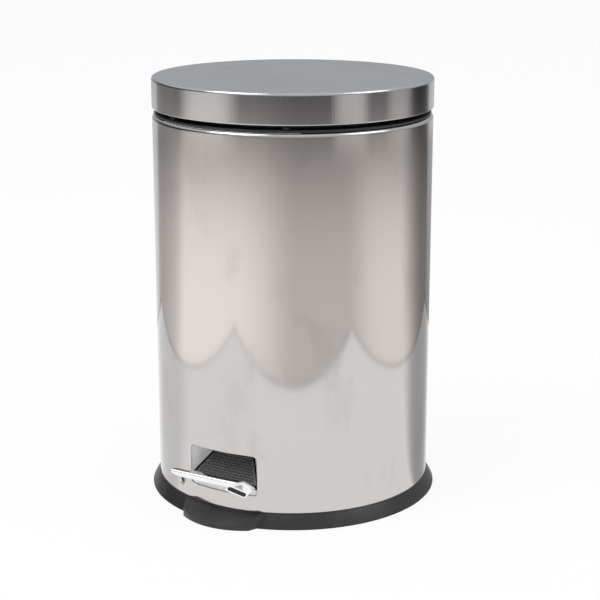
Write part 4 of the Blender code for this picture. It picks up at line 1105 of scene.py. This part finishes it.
def floor_light(place):
    """The colour and the strength of the room's floor at a place."""
    flat = flattened(place)
    reach = flat.node("ShaderNodeVectorMath", {"operation": "LENGTH"}, {0: flat}, 1)
    flat = direction(flat)
    turned_place = place.node("ShaderNodeVectorRotate", {"rotation_type": "Z_AXIS"},
                              {"Vector": place, "Angle": -CAMERA_AZIMUTH})
    aside = place.maths("ABSOLUTE", turned_place.axis(0), 0.0)
    ahead = place.maths("ABSOLUTE", turned_place.axis(1), 0.0)
    paper_end = PAPER_HALF_WIDTH + PAPER_EDGE
    rim = 1.0 - place.maths("MAXIMUM", aside, ahead).between(PAPER_HALF_WIDTH, paper_end)
    near_light = (1.0 - reach.between(*FADE_REACH) * FADE_DEPTH) * (1.0 - rim * PAPER_EDGE_SHADE)
    near_light = near_light * (SIDE_LEVEL + patches(flat, SIDE_GLOWS))
    for bearing_deg, width_deg, depth in DIM_PATCHES:
        near_light = near_light * (1.0 - lobe(flat, bearing_deg, width_deg) * depth)
    rear = lobe(flat, BEHIND_DEG, REAR_WIDTH)
    far_light = reach.between(*FAR_REACH) * (patches(flat, FAR_WINDOWS) + rear * REAR_STRENGTH)
    backdrop = lobe(flat, BEHIND_DEG, *BACKDROP_WIDTHS)
    low, more = BACKDROP_STRENGTHS
    backdrop_light = backdrop * (low + reach.between(*BACKDROP_REACH) * more)
    colour = (rear * 0.5 + backdrop).between(0.0, 1.0).mix(WARM, COOL)
    return colour, near_light + far_light + backdrop_light


def dome_light(place):
    """The colour and the strength of the dome at a place."""
    level = place.axis(2) / ROOM_SIZE
    bearing_deg, width_deg, depth = LOW_LEFT
    left = lobe(direction(flattened(place)), bearing_deg, width_deg)
    low_left = left * (1.0 - level.between(*LOW_LEFT_RISE))
    low, more = DOME_STRENGTHS
    return COOL, (low + level.between(*DOME_RISE) * more) * (1.0 - low_left * depth)


for piece, light_name, light in ((room_floor, "room_floor_light", floor_light),
                                 (room_dome, "room_light", dome_light)):
    piece.data.materials.append(glow(light_name, light))
    piece.visible_camera = False
    piece.visible_diffuse = False
    piece.visible_shadow = False
    piece.visible_transmission = False
print("studio lit")

# %% [markdown]
# The world lights the scene evenly, and is plain white where it is seen itself or mirrored.
# One large lamp from the upper left adds a soft direction, and a weaker one fills from the right.
# A lamp's row gives its direction, distance, height, size and power.

# %% World and lamps
WORLD_LIGHT = 0.78
LAMP_AIM = Vector((0.0, 0.0, 0.2))
LAMPS = {"key_lamp": (-60.0, 1.6, 2.2, 1.4, 22.0), "fill_lamp": (70.0, 1.8, 1.8, 1.2, 9.0)}

world = bpy.data.worlds.new("studio")
scene.world = world
world.use_nodes = True
world_tree = world.node_tree
lit = world_tree.nodes["Background"]
lit.inputs["Strength"].default_value = WORLD_LIGHT
lit.inputs["Color"].default_value = WHITE
seen = watched_rays(world_tree)[0]
backing = seen.node("ShaderNodeBackground", None, {"Color": WHITE, "Strength": 1.0})
blend = seen.node("ShaderNodeMixShader", None, {0: seen, 1: Flow(lit.outputs[0]), 2: backing})
world_tree.links.new(blend.socket, world_tree.nodes["World Output"].inputs["Surface"])


def soft_lamp(name, bearing_deg, distance, height, size, power):
    """A square lamp that faces the bin."""
    data = bpy.data.lights.new(name, "AREA")
    data.size = size
    data.energy = power
    lamp = bpy.data.objects.new(name, data)
    lamp.location = toward(bearing_deg) * distance + Vector((0.0, 0.0, height))
    lamp.rotation_euler = (LAMP_AIM - lamp.location).to_track_quat("-Z", "Y").to_euler()
    scene.collection.objects.link(lamp)


for name, numbers in LAMPS.items():
    soft_lamp(name, *numbers)
print("world set, with", len(LAMPS), "lamps")
